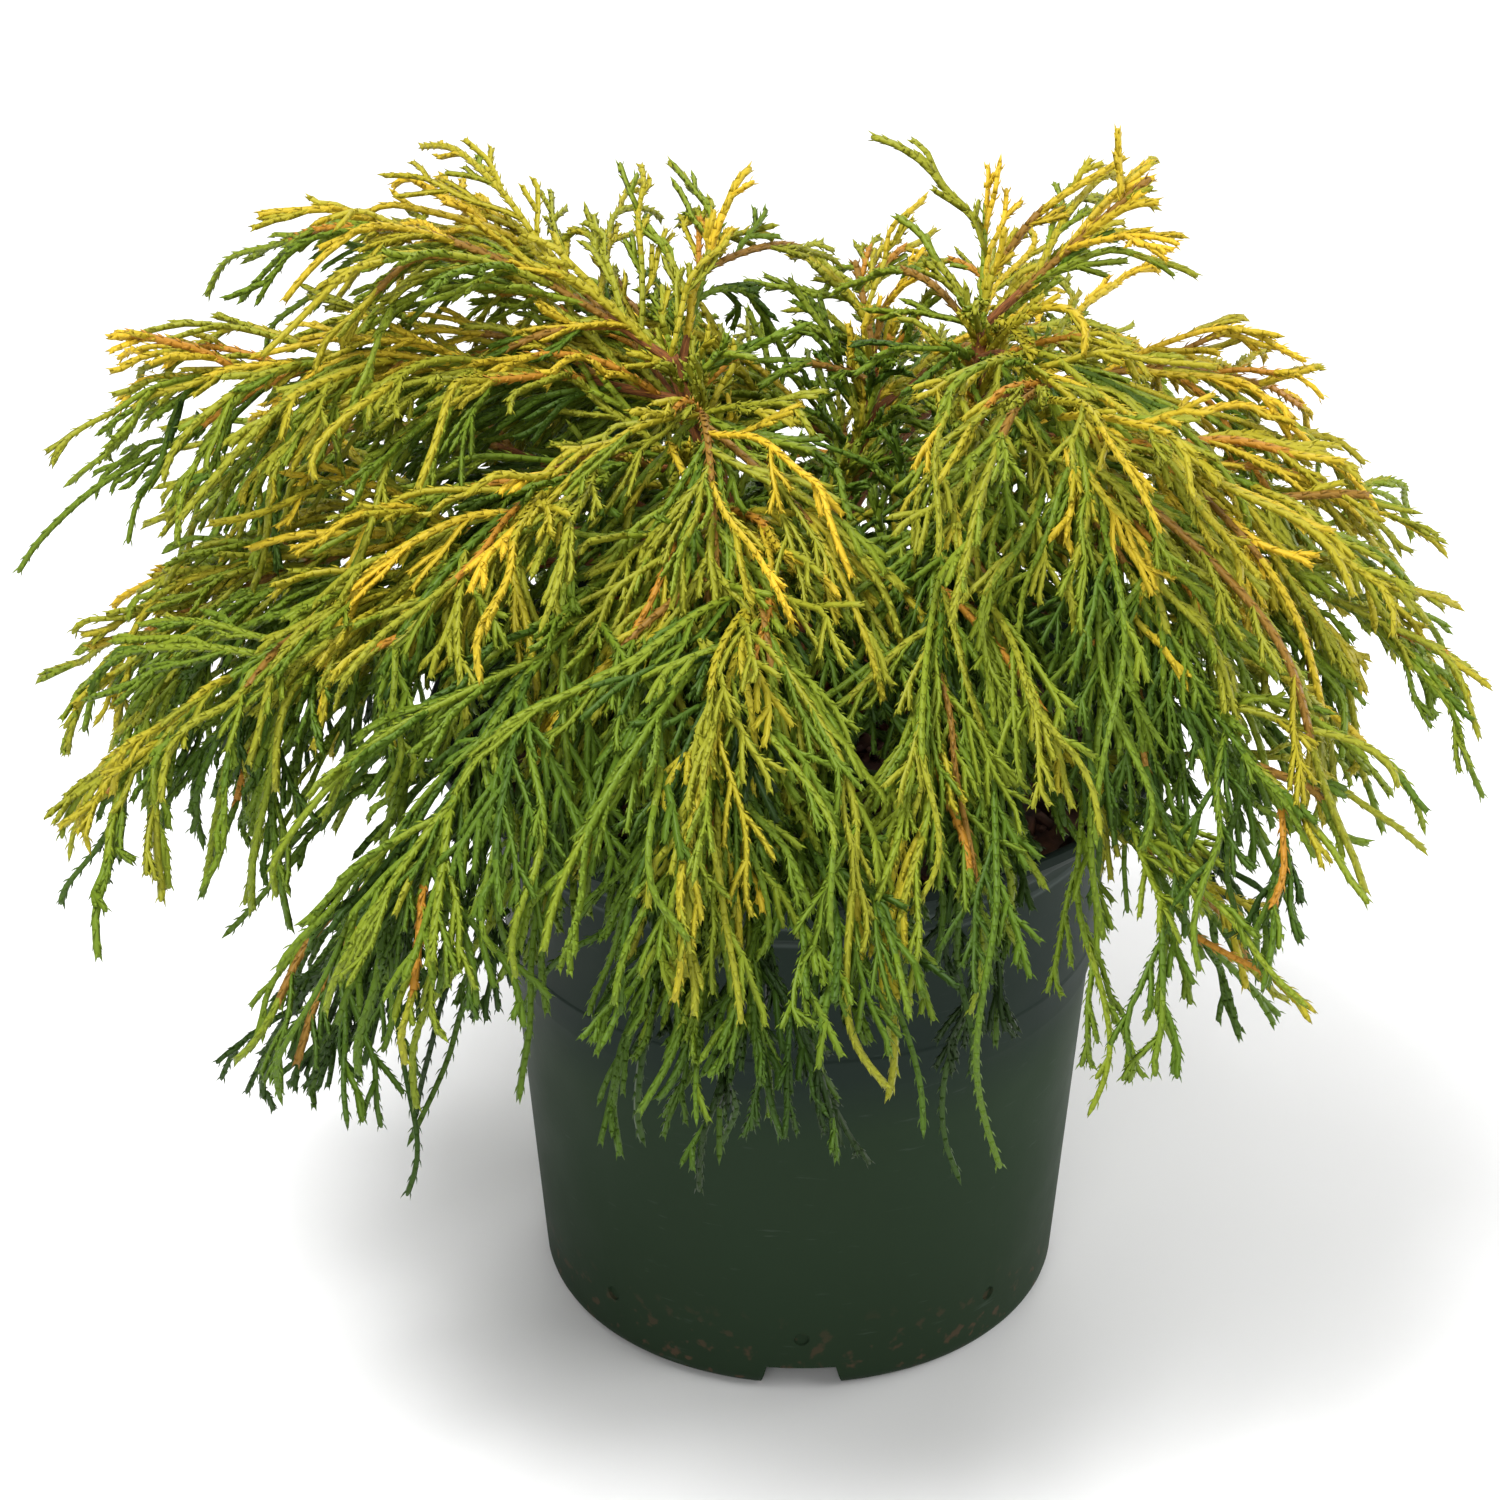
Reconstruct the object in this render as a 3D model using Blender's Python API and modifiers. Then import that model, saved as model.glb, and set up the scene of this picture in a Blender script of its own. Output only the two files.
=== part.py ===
import math
import random
from collections import namedtuple

import bmesh
import bpy
import numpy as np
from mathutils import Vector, noise

# Sizes are in metres and angles in degrees. The origin is the middle of the pot's underside,
# +Z is up, and -Y is the pot's front. An azimuth turns from +X towards +Y.
GAP = 0.0003
MERGE = 0.00002
FINE_MERGE = 0.000002
UP = Vector((0.0, 0.0, 1.0))

# Nursery pot
POT_HEIGHT = 0.166
POT_SIDES = 32
LIP_RADIUS = 0.096
LIP_BAND = 0.0035
LIP_WIDTH = 0.0030
EDGE_SLANT = 0.001
FLARE_START = 0.149
FLARE_END = 0.1585
FLARE_REACH = 0.0112
WALL_FOOT_RADIUS = 0.0688
WALL_SLOPE = 0.080
WALL_THICKNESS = 0.0016
LEDGE_LOW = 0.0945
LEDGE_HIGH = 0.0985
LEDGE_DEPTH = 0.0007
FOOT_ROUNDING = 0.006
FOOT_ARC_STEPS = 4
FLOOR_HEIGHT = 0.0105
FLOOR_CORNER = 0.006
RECESS_DEPTH = 0.0082
RECESS_INNER = 0.015
RECESS_OUTER = 0.044
NOTCH_COUNT = 4
NOTCH_HEIGHT = 0.0078
NOTCH_WIDTH_LOW = 0.0227
NOTCH_WIDTH_HIGH = 0.0180
NOTCH_OVERCUT = 0.003
DRAIN_COUNT = 8
DRAIN_SIDES = 8
DRAIN_HEIGHT = 0.0175
DRAIN_FLOOR_RADIUS = 0.0017
DRAIN_MOUTH_RADIUS = 0.0038
DRAIN_DEPTH = 0.0009
DRAIN_CUTTER_LENGTH = 0.006
FRONT = -90.0

# Bark mulch and soil
SOIL_TOP = 0.152
SOIL_RELIEF = 0.0022
SOIL_RELIEF_SCALE = 0.018
SOIL_LEVEL_RADIUS = 0.020
SOIL_EDGE_DROP = 0.002
SOIL_RINGS = 3
SOIL_SHARP_ANGLE = 35.0

# Trunk and its three leaders
TRUNK_HEIGHT = 0.031
TRUNK_FOOT_RADIUS = 0.0105
TRUNK_RADIUS = 0.0052
TRUNK_FLARE = 0.0035
LEADER_ROOT_RADIUS = 0.0036
LEADER_TIP_RADIUS = 0.0019
LEADER_PIECES = 7
TRUNK_LEAN = 0.006
TRUNK_RINGS = 6

Leader = namedtuple("Leader", "name seat middle tip")
LEADERS = (
    Leader("leader_left", 1.00, (-0.012, 0.000, 0.222), (-0.033, 0.004, 0.262)),
    Leader("leader_right", 0.55, (0.049, 0.004, 0.208), (0.043, 0.011, 0.268)),
    Leader("leader_back", 0.78, (0.008, 0.034, 0.196), (0.020, 0.052, 0.236)),
)

# A bough leaves its carrier at a share of its length and ends where its foliage begins.
# The foliage's shoot continues it.
Bough = namedtuple("Bough", "name carrier seat azimuth rise length shoot sag")
BOUGH_ROOT_RADIUS = 0.0024
BOUGH_TIP_RADIUS = 0.0014
BOUGH_PIECES = 3
BOUGH_SAG_SHARE = 0.5
LOW_COUNT = 8
LOW_FIRST = -96.0
LOW_SEATS = (0.12, 0.30)
LOW_RISES = (36.0, 27.0)
LOW_LENGTHS = (0.048, 0.054)
LOW_SHOOTS = (0.122, 0.132)
LOW_SAG = 12.5
LOW_SHORT_SIDE = -18.0
LOW_SHORTER = 0.032
LOW_STEEPER = 7.0
MIDDLE_BOUGHS = (
    Bough("bough_middle_1", "trunk", 0.66, -99.0, 60.0, 0.045, 0.124, 19.0),
    Bough("bough_middle_2", "leader_right", 0.24, -50.0, 34.0, 0.045, 0.112, 12.0),
    Bough("bough_middle_3", "leader_right", 0.46, -14.0, 12.0, 0.040, 0.080, 8.0),
    Bough("bough_middle_4", "leader_right", 0.36, 22.0, 18.0, 0.045, 0.086, 8.5),
    Bough("bough_middle_5", "leader_back", 0.50, 66.0, 14.0, 0.040, 0.114, 9.0),
    Bough("bough_middle_6", "leader_back", 0.38, 112.0, 18.0, 0.045, 0.118, 9.0),
    Bough("bough_middle_7", "leader_left", 0.22, 150.0, 24.0, 0.050, 0.126, 8.5),
    Bough("bough_middle_8", "leader_left", 0.36, 184.0, 12.0, 0.045, 0.112, 7.0),
    Bough("bough_middle_9", "leader_left", 0.28, 209.0, 22.0, 0.050, 0.133, 8.0),
    Bough("bough_middle_10", "leader_left", 0.14, 240.0, 38.0, 0.050, 0.134, 12.5),
)

# Foliage that stands on the leaders themselves
Spray = namedtuple("Spray", "name carrier seat azimuth rise shoot sag")
LEADER_LAST_SEAT = 0.985
CROWN_SPRAYS = (
    Spray("foliage_top_1", "leader_left", 1.00, 172.0, 36.0, 0.080, 7.0),
    Spray("foliage_top_2", "leader_left", 0.93, 76.0, 42.0, 0.048, 12.0),
    Spray("foliage_top_3", "leader_left", 0.86, 186.0, 17.0, 0.130, 4.0),
    Spray("foliage_top_4", "leader_left", 0.78, 274.0, 40.0, 0.104, 24.0),
    Spray("foliage_top_5", "leader_left", 0.72, 140.0, 46.0, 0.090, 11.0),
    Spray("foliage_top_6", "leader_left", 0.60, 228.0, 32.0, 0.128, 12.5),
    Spray("foliage_top_7", "leader_right", 1.00, 4.0, 44.0, 0.058, 0.5),
    Spray("foliage_top_8", "leader_right", 0.92, 286.0, 34.0, 0.098, 21.0),
    Spray("foliage_top_9", "leader_right", 0.82, 16.0, 13.0, 0.078, 9.0),
    Spray("foliage_top_10", "leader_right", 0.74, 338.0, 14.0, 0.096, 9.0),
    Spray("foliage_top_11", "leader_right", 0.88, 86.0, 50.0, 0.046, 6.0),
    Spray("foliage_top_12", "leader_back", 1.00, 100.0, 38.0, 0.036, 8.0),
    Spray("foliage_top_13", "leader_back", 0.86, 46.0, 20.0, 0.092, 11.0),
    Spray("foliage_top_14", "leader_back", 0.76, 162.0, 30.0, 0.100, 12.0),
    Spray("foliage_front_1", "leader_left", 0.46, 262.0, 38.0, 0.116, 16.0),
    Spray("foliage_front_2", "leader_right", 0.54, 266.0, 34.0, 0.128, 16.0),
    Spray("foliage_front_3", "leader_right", 0.66, 296.0, 44.0, 0.114, 18.0),
)

# A shoot carries sprays on its two sides in turn. A spray is a thin blade with a ridge, and its
# two edges stand out in teeth in turn, one for each side thread of the real spray.
SHOOT_RESOLUTION = 0
SHOOT_ROOT_RADIUS = 0.0014
SHOOT_TIP_RADIUS = 0.0006
SHOOT_PIECES = 6
SPRAY_PITCH = 0.0145
SPRAY_LENGTH = 0.064
SPRAY_SHOOT_SHARE = 0.95
SPRAY_LEAST_FULLNESS = 0.66
SPRAY_MORE_FULLNESS = 0.50
SPRAY_FULLEST_SHARE = 0.38
SPRAY_LENGTH_SPREAD = (0.8, 1.2)
SPRAY_FIRST = 0.10
SPRAY_LAST = 0.98
SPRAY_SPREAD = (28.0, 52.0)
SPRAY_LIFT = (-34.0, 34.0)
SPRAY_SAG = (15.0, 26.0)
SPRAY_SWAY = 4.0
SPRAY_SUNK = 0.0004
SPRAY_SEAT_SIZE = 0.010
TOOTH_PITCH = 0.0125
TOOTH_REACH = 0.0064
TOOTH_FORWARD = 0.0072
TOOTH_BALLS = 4
TOOTH_BALL_RADIUS = 0.0010
FEWEST_TEETH = 2
TOOTH_NARROWING = 0.45
RIDGE_HEIGHT = 0.0014
CORE_WIDTH = 0.0011
ROOT_WIDTH = 0.0006
CORE_BALL_RADIUS = 0.0015
RING_PARTS = 8
ARCH_STEPS = 24
ROOT_SOFTNESS = 0.45
TIP_SOFTNESS = 1.55
BALL_SPACING = 0.0016
LIMB_RESOLUTION = 1
CLEARANCE = 0.0006
CROWN_RADIUS = 0.212
CROWN_LOWEST = 0.050
SKIRT_START = 0.112
SKIRT_RISE = 0.95
SEED = 411


def plain_material(name, color, roughness):
    material = bpy.data.materials.new(name)
    material.use_nodes = True
    shader = material.node_tree.nodes["Principled BSDF"]
    shader.inputs["Base Color"].default_value = (*color, 1.0)
    shader.inputs["Roughness"].default_value = roughness
    shader.inputs["Metallic"].default_value = 0.0
    return material


def new_collection(name, hidden=False):
    collection = bpy.data.collections.new(name)
    collection.hide_render = hidden
    bpy.context.scene.collection.children.link(collection)
    return collection


def add_object(name, mesh, collection, material=None):
    made = bpy.data.objects.new(name, mesh)
    collection.objects.link(made)
    if material is not None:
        mesh.materials.append(material)
    return made


def evaluated_mesh(made, name, merge=MERGE):
    """The object's mesh with its modifiers applied and its doubles merged. The object itself is removed."""
    graph = bpy.context.evaluated_depsgraph_get()
    graph.update()
    mesh = bpy.data.meshes.new_from_object(made.evaluated_get(graph), depsgraph=graph)
    bpy.data.objects.remove(made)
    work = bmesh.new()
    work.from_mesh(mesh)
    bmesh.ops.remove_doubles(work, verts=work.verts, dist=merge)
    work.to_mesh(mesh)
    work.free()
    mesh.name = name
    return mesh


def turned(name, profile, collection, material):
    """A turned solid. The profile runs from the axis up the inside and down the outside, back to the axis."""
    mesh = bpy.data.meshes.new(name)
    points = [(radius, 0.0, height) for radius, height in profile]
    edges = [(index, index + 1) for index in range(len(points) - 1)]
    mesh.from_pydata(points, edges, [])
    made = add_object(name, mesh, collection, material)
    screw = made.modifiers.new("Turn", "SCREW")
    screw.steps = POT_SIDES
    screw.render_steps = POT_SIDES
    screw.use_merge_vertices = True
    screw.merge_threshold = MERGE
    screw.use_smooth_shade = True
    return made


def wall_radius(height):
    return WALL_FOOT_RADIUS + WALL_SLOPE * height


def pot_inside():
    """The pot's inner face from the middle of its floor up to the lip."""
    floor_radius = wall_radius(FLOOR_HEIGHT) - WALL_THICKNESS - FLOOR_CORNER - LEDGE_DEPTH
    corner_height = FLOOR_HEIGHT + FLOOR_CORNER
    corner_radius = wall_radius(corner_height) - WALL_THICKNESS - LEDGE_DEPTH
    throat_radius = wall_radius(FLARE_START) - WALL_THICKNESS
    return [
        (0.0, FLOOR_HEIGHT),
        (floor_radius, FLOOR_HEIGHT),
        (corner_radius, corner_height),
        (throat_radius - LEDGE_DEPTH, FLARE_START),
        (throat_radius + FLARE_REACH, FLARE_END + WALL_THICKNESS),
    ]


def pot_outside():
    """The pot's outer face from the lip down to the middle of its underside."""
    flare_radius = wall_radius(FLARE_START) + FLARE_REACH
    foot_top_radius = wall_radius(FOOT_ROUNDING) - LEDGE_DEPTH
    points = [
        (LIP_RADIUS - LIP_WIDTH, POT_HEIGHT),
        (LIP_RADIUS, POT_HEIGHT - EDGE_SLANT),
        (LIP_RADIUS, POT_HEIGHT - LIP_BAND),
        (flare_radius, FLARE_END),
        (wall_radius(FLARE_START), FLARE_START),
        (wall_radius(LEDGE_HIGH), LEDGE_HIGH),
        (wall_radius(LEDGE_LOW) - LEDGE_DEPTH, LEDGE_LOW),
    ]
    for step in range(FOOT_ARC_STEPS + 1):
        angle = math.radians(90.0 * step / FOOT_ARC_STEPS)
        radius = foot_top_radius - FOOT_ROUNDING * (1.0 - math.cos(angle))
        points.append((radius, FOOT_ROUNDING * (1.0 - math.sin(angle))))
    points += [
        (RECESS_OUTER + EDGE_SLANT, 0.0),
        (RECESS_OUTER, RECESS_DEPTH),
        (RECESS_INNER + EDGE_SLANT, RECESS_DEPTH),
        (RECESS_INNER, 0.0),
        (0.0, 0.0),
    ]
    return points


def add_cutter(name, mesh, cutters):
    made = add_object(name, mesh, cutters)
    made.hide_render = True
    made.display_type = "WIRE"
    return made


def foot_notch(index, cutters):
    """A drain slot through the foot ring, wider at the ground than at its roof."""
    work = bmesh.new()
    bmesh.ops.create_cube(work, size=1.0)
    inner = RECESS_OUTER - NOTCH_OVERCUT
    outer = WALL_FOOT_RADIUS + NOTCH_OVERCUT
    for vert in work.verts:
        top = vert.co.z > 0.0
        width = NOTCH_WIDTH_HIGH if top else NOTCH_WIDTH_LOW
        vert.co.x = outer if vert.co.x > 0.0 else inner
        vert.co.y = math.copysign(width / 2.0, vert.co.y)
        vert.co.z = NOTCH_HEIGHT if top else -NOTCH_OVERCUT
    mesh = bpy.data.meshes.new("notch")
    work.to_mesh(mesh)
    work.free()
    made = add_cutter(f"notch_{index + 1}", mesh, cutters)
    made.rotation_euler.z = math.radians(FRONT + 360.0 * index / NOTCH_COUNT)
    return made


def drain_dimple(index, cutters):
    """A shallow round dimple low on the wall."""
    outward = direction(FRONT + 360.0 * index / DRAIN_COUNT, 0.0)
    middle = wall_radius(DRAIN_HEIGHT) - LEDGE_DEPTH - DRAIN_DEPTH + DRAIN_CUTTER_LENGTH / 2.0
    work = bmesh.new()
    bmesh.ops.create_cone(
        work,
        cap_ends=True,
        segments=DRAIN_SIDES,
        radius1=DRAIN_FLOOR_RADIUS,
        radius2=DRAIN_MOUTH_RADIUS,
        depth=DRAIN_CUTTER_LENGTH,
    )
    mesh = bpy.data.meshes.new("dimple")
    work.to_mesh(mesh)
    work.free()
    made = add_cutter(f"dimple_{index + 1}", mesh, cutters)
    made.rotation_euler = outward.to_track_quat("Z", "X").to_euler()
    made.location = outward * middle + UP * DRAIN_HEIGHT
    return made


def make_pot(collection, cutters, material):
    pot = turned("pot", pot_inside() + pot_outside(), collection, material)
    for index in range(NOTCH_COUNT):
        foot_notch(index, cutters)
    for index in range(DRAIN_COUNT):
        drain_dimple(index, cutters)
    cut = pot.modifiers.new("Drainage", "BOOLEAN")
    cut.operation = "DIFFERENCE"
    cut.operand_type = "COLLECTION"
    cut.collection = cutters
    return pot


def make_soil(collection, material):
    """The pot's filling: level at the trunk and uneven round it."""
    floor, corner, throat = pot_inside()[1:4]
    share = (SOIL_TOP - SOIL_EDGE_DROP - corner[1]) / (throat[1] - corner[1])
    edge_radius = corner[0] + (throat[0] - corner[0]) * min(share, 1.0) - 2.0 * GAP
    width = edge_radius - SOIL_LEVEL_RADIUS
    profile = [(0.0, SOIL_TOP)]
    profile += [(SOIL_LEVEL_RADIUS + width * ring / SOIL_RINGS, SOIL_TOP) for ring in range(SOIL_RINGS)]
    profile += [
        (edge_radius, SOIL_TOP - SOIL_EDGE_DROP),
        (corner[0] - 2.0 * GAP, corner[1]),
        (floor[0] - GAP, floor[1] + GAP),
        (0.0, floor[1] + GAP),
    ]
    mesh = evaluated_mesh(turned("soil_turned", profile, collection, None), "soil")
    for vert in mesh.vertices:
        radius = math.hypot(vert.co.x, vert.co.y)
        if vert.co.z > SOIL_TOP - GAP and radius > SOIL_LEVEL_RADIUS + GAP:
            vert.co.z += SOIL_RELIEF * noise.noise(vert.co / SOIL_RELIEF_SCALE)
    soil = add_object("soil", mesh, collection, material)
    mesh.shade_smooth()
    mesh.set_sharp_from_angle(angle=math.radians(SOIL_SHARP_ANGLE))
    return soil


def direction(azimuth, rise):
    around = math.radians(azimuth)
    above = math.radians(rise)
    level = math.cos(above)
    return Vector((level * math.cos(around), level * math.sin(around), math.sin(above)))


def arch(start, heading, length, sag, sway=0.0):
    """Points of a shoot that leaves start along heading, bows down more and more, and sways to one side."""
    way = heading.normalized()
    side = way.cross(UP)
    point = start.copy()
    points = [point.copy()]
    step = length / ARCH_STEPS
    for index in range(ARCH_STEPS):
        softness = ROOT_SOFTNESS + (TIP_SOFTNESS - ROOT_SOFTNESS) * index / ARCH_STEPS
        way = (way - UP * (sag * softness * step) + side * (sway * step)).normalized()
        point = point + way * step
        points.append(point.copy())
    return points


def bow(start, middle, end, steps):
    """Points of a smooth curve that leaves start towards middle and comes to end."""
    points = []
    for index in range(steps + 1):
        t = index / steps
        points.append(start * (1.0 - t) ** 2 + middle * (2.0 * t * (1.0 - t)) + end * t**2)
    return points


def along(points, share):
    """The point and the direction at a share of an evenly stepped path."""
    place = min(max(share, 0.0), 1.0) * (len(points) - 1)
    index = min(int(place), len(points) - 2)
    step = points[index + 1] - points[index]
    return points[index] + step * (place - index), step.normalized()


def resampled(points, pieces):
    return [along(points, index / pieces)[0] for index in range(pieces + 1)]


class Room:
    """Balls along every limb and twig that stands already, each with the name of its node."""

    def __init__(self):
        self.centres = np.empty((0, 3))
        self.radii = np.empty(0)
        self.names = np.empty(0, dtype=object)

    def add(self, name, balls):
        centres, radii = balls
        self.centres = np.concatenate([self.centres, centres])
        self.radii = np.concatenate([self.radii, radii])
        self.names = np.concatenate([self.names, np.full(len(radii), name, dtype=object)])

    def blocked(self, balls, root, name):
        """Whether a ball leaves the open or touches what stands already, apart from its own node near its root."""
        centres, radii = balls
        if not all(in_the_open(centre, radius) for centre, radius in zip(centres, radii)):
            return True
        from_root = np.linalg.norm(self.centres - np.array(root[:]), axis=1)
        counted = ~((self.names == name) & (from_root < SPRAY_SEAT_SIZE))
        apart = np.linalg.norm(centres[:, None] - self.centres[None, counted], axis=2)
        apart -= radii[:, None] + self.radii[None, counted]
        return bool((apart < CLEARANCE).any())


def balls_along(points, radius_at):
    """Evenly spaced balls along a path, as their centres and radii."""
    length = sum((b - a).length for a, b in zip(points, points[1:]))
    count = max(2, int(length / BALL_SPACING))
    shares = [index / count for index in range(count + 1)]
    centres = np.array([along(points, share)[0][:] for share in shares])
    return centres, np.array([radius_at(share) for share in shares])


def in_the_open(centre, radius):
    """Whether a ball is clear of the pot and the soil and inside the crown's outer bounds."""
    reach = math.hypot(centre[0], centre[1])
    height = centre[2]
    margin = radius + CLEARANCE
    lowest = CROWN_LOWEST + SKIRT_RISE * max(0.0, reach - SKIRT_START)
    if reach > CROWN_RADIUS or height < lowest:
        return False
    if height > POT_HEIGHT + margin or reach > LIP_RADIUS + margin:
        return True
    if height < FLARE_START - margin:
        return reach > wall_radius(height) + margin
    inner_radius = wall_radius(FLARE_START) - WALL_THICKNESS - LEDGE_DEPTH
    return reach < inner_radius - margin and height > SOIL_TOP + margin


def linear(first, last):
    return lambda share: first + (last - first) * share


def tube_mesh(name, points, radii, collection, resolution):
    """A round limb: a poly curve with a bevel, made a mesh."""
    curve = bpy.data.curves.new(name, "CURVE")
    curve.dimensions = "3D"
    curve.bevel_depth = 1.0
    curve.bevel_resolution = resolution
    curve.use_fill_caps = True
    spline = curve.splines.new("POLY")
    spline.points.add(len(points) - 1)
    for target, point, radius in zip(spline.points, points, radii):
        target.co = (*point, 1.0)
        target.radius = radius
    made = bpy.data.objects.new(name, curve)
    collection.objects.link(made)
    return evaluated_mesh(made, name)


class Limb:
    """A trunk, leader or bough: its centre line, its radii, its solid and the sleeve that cuts what sits on it."""

    def __init__(self, name, points, radii, plant):
        self.name = name
        self.points = points
        self.radii = radii
        mesh = tube_mesh(name, points, radii, plant.parts, LIMB_RESOLUTION)
        mesh.shade_smooth()
        self.made = add_object(name, mesh, plant.parts, plant.bark)
        self.plant = plant
        self.sleeve = None
        plant.limbs[name] = self
        plant.room.add(name, balls_along(points, self.radius_at))

    def radius_at(self, share):
        place = min(max(share, 0.0), 1.0) * (len(self.radii) - 1)
        index = min(int(place), len(self.radii) - 2)
        return self.radii[index] + (self.radii[index + 1] - self.radii[index]) * (place - index)

    def seat(self, made):
        """Cuts the root of what sits on this limb to the limb's side, one gap clear."""
        if self.sleeve is None:
            sides = 4 + 2 * LIMB_RESOLUTION
            offset = GAP / math.cos(math.pi / sides)
            first, last = self.points[0], self.points[-1]
            points = list(self.points)
            points[0] = first - (self.points[1] - first).normalized() * GAP
            points[-1] = last + (last - self.points[-2]).normalized() * GAP
            radii = [radius + offset for radius in self.radii]
            mesh = tube_mesh(f"sleeve_{self.name}", points, radii, self.plant.sleeves, LIMB_RESOLUTION)
            self.sleeve = add_object(f"sleeve_{self.name}", mesh, self.plant.sleeves)
            self.sleeve.hide_render = True
            self.sleeve.display_type = "WIRE"
        cut = made.modifiers.new("Seat", "BOOLEAN")
        cut.operation = "DIFFERENCE"
        cut.object = self.sleeve


class Plant:
    """What the limbs and the foliage share while they are made."""

    def __init__(self, parts, sleeves, bark, needles):
        self.parts = parts
        self.sleeves = sleeves
        self.bark = bark
        self.needles = needles
        self.room = Room()
        self.limbs = {}


def make_trunk(plant):
    """A short trunk with a flare at its foot, cut flat at the soil and leaning a little to the left."""
    foot = Vector((TRUNK_LEAN / 3.0, 0.0, SOIL_TOP + GAP))
    points = []
    radii = []
    for index in range(TRUNK_RINGS + 1):
        height = TRUNK_HEIGHT * index / TRUNK_RINGS
        lean = -TRUNK_LEAN * (index / TRUNK_RINGS) ** 2
        points.append(foot + Vector((lean, 0.0, height)))
        flare = (TRUNK_FOOT_RADIUS - TRUNK_RADIUS) * math.exp(-height / TRUNK_FLARE)
        radii.append(TRUNK_RADIUS + flare)
    points[1].x = points[0].x
    return Limb("trunk", points, radii, plant)


def make_leader(leader, plant):
    """One of the three stems that rise from the trunk. The left one goes on from the trunk's tip."""
    trunk = plant.limbs["trunk"]
    start, way = along(trunk.points, leader.seat)
    middle = Vector(leader.middle)
    goes_on = leader.seat >= 1.0
    if goes_on:
        start = start + way * GAP
        middle = start + way * (middle - start).length
    points = bow(start, middle, Vector(leader.tip), LEADER_PIECES)
    radius_at = linear(LEADER_ROOT_RADIUS, LEADER_TIP_RADIUS)
    radii = [radius_at(index / (len(points) - 1)) for index in range(len(points))]
    limb = Limb(leader.name, points, radii, plant)
    if not goes_on:
        trunk.seat(limb.made)
    return limb


def make_bough(bough, plant):
    """One tapering bough, from the side of its carrier to the place where its foliage begins."""
    carrier = plant.limbs[bough.carrier]
    start, _ = along(carrier.points, bough.seat)
    line = arch(start, direction(bough.azimuth, bough.rise), bough.length, bough.sag * BOUGH_SAG_SHARE)
    points = resampled(line, BOUGH_PIECES)
    radius_at = linear(BOUGH_ROOT_RADIUS, BOUGH_TIP_RADIUS)
    radii = [radius_at(index / BOUGH_PIECES) for index in range(BOUGH_PIECES + 1)]
    limb = Limb(bough.name, points, radii, plant)
    carrier.seat(limb.made)
    return limb


def spray_stations(line, length):
    """The rings of a spray's blade: root, one ring for each tooth, and the tip."""
    teeth = max(FEWEST_TEETH, round(length / TOOTH_PITCH) - 1)
    point, way = along(line, 0.0)
    normal = (UP - way * way.dot(UP)).normalized()
    side = way.cross(normal)
    rings = [(point - side * ROOT_WIDTH, point + side * ROOT_WIDTH, point + normal * ROOT_WIDTH)]
    cores = [point]
    for tooth in range(teeth):
        share = (tooth + 1.0) / (teeth + 1.0)
        point, turned_way = along(line, share)
        normal = way.rotation_difference(turned_way) @ normal
        way = turned_way
        side = way.cross(normal)
        narrow = 1.0 - TOOTH_NARROWING * share
        out = side * (TOOTH_REACH * narrow)
        forward = way * (TOOTH_FORWARD * narrow)
        core = side * (CORE_WIDTH * narrow)
        ridge = point + normal * (RIDGE_HEIGHT * narrow)
        if tooth % 2:
            rings.append((point - core, point + out + forward, ridge))
        else:
            rings.append((point - out + forward, point + core, ridge))
        cores.append(point)
    return rings, cores, along(line, 1.0)[0]


def spray_mesh(rings, tip):
    """A closed blade through the rings to its tip: three corners a ring, two edges and a ridge."""
    work = bmesh.new()
    loops = [[work.verts.new(corner) for corner in ring] for ring in rings]
    end = work.verts.new(tip)
    work.faces.new(loops[0])
    for low, high in zip(loops, loops[1:]):
        for corner in range(3):
            after = (corner + 1) % 3
            work.faces.new((low[after], low[corner], high[corner], high[after]))
    for corner in range(3):
        work.faces.new((loops[-1][(corner + 1) % 3], loops[-1][corner], end))
    bmesh.ops.triangulate(work, faces=work.faces)
    bmesh.ops.recalc_face_normals(work, faces=work.faces)
    mesh = bpy.data.meshes.new("spray")
    work.to_mesh(mesh)
    work.free()
    return mesh


def shoot_sprays(points, shoot_length, draws):
    """Centre lines and lengths of the sprays along a shoot, on its two sides in turn."""
    count = round(shoot_length / SPRAY_PITCH)
    full_length = min(SPRAY_LENGTH, SPRAY_SHOOT_SHARE * shoot_length)
    for index in range(count):
        share = SPRAY_FIRST + (SPRAY_LAST - SPRAY_FIRST) * (index + draws.random()) / count
        point, way = along(points, share)
        side = 1.0 if index % 2 else -1.0
        across = way.cross(UP).normalized() * side
        over = across.cross(way) * side
        spread = math.radians(draws.uniform(*SPRAY_SPREAD))
        lift = math.radians(draws.uniform(*SPRAY_LIFT))
        outward = across * math.cos(lift) + over * math.sin(lift)
        heading = way * math.cos(spread) + outward * math.sin(spread)
        middle = min(share + 0.5 - SPRAY_FULLEST_SHARE, 1.0)
        fullness = SPRAY_LEAST_FULLNESS + SPRAY_MORE_FULLNESS * math.sin(math.pi * middle)
        length = full_length * fullness * draws.uniform(*SPRAY_LENGTH_SPREAD)
        sag = draws.uniform(*SPRAY_SAG)
        sway = draws.uniform(-SPRAY_SWAY, SPRAY_SWAY)
        yield arch(point - heading * SPRAY_SUNK, heading, length, sag, sway), length


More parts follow.
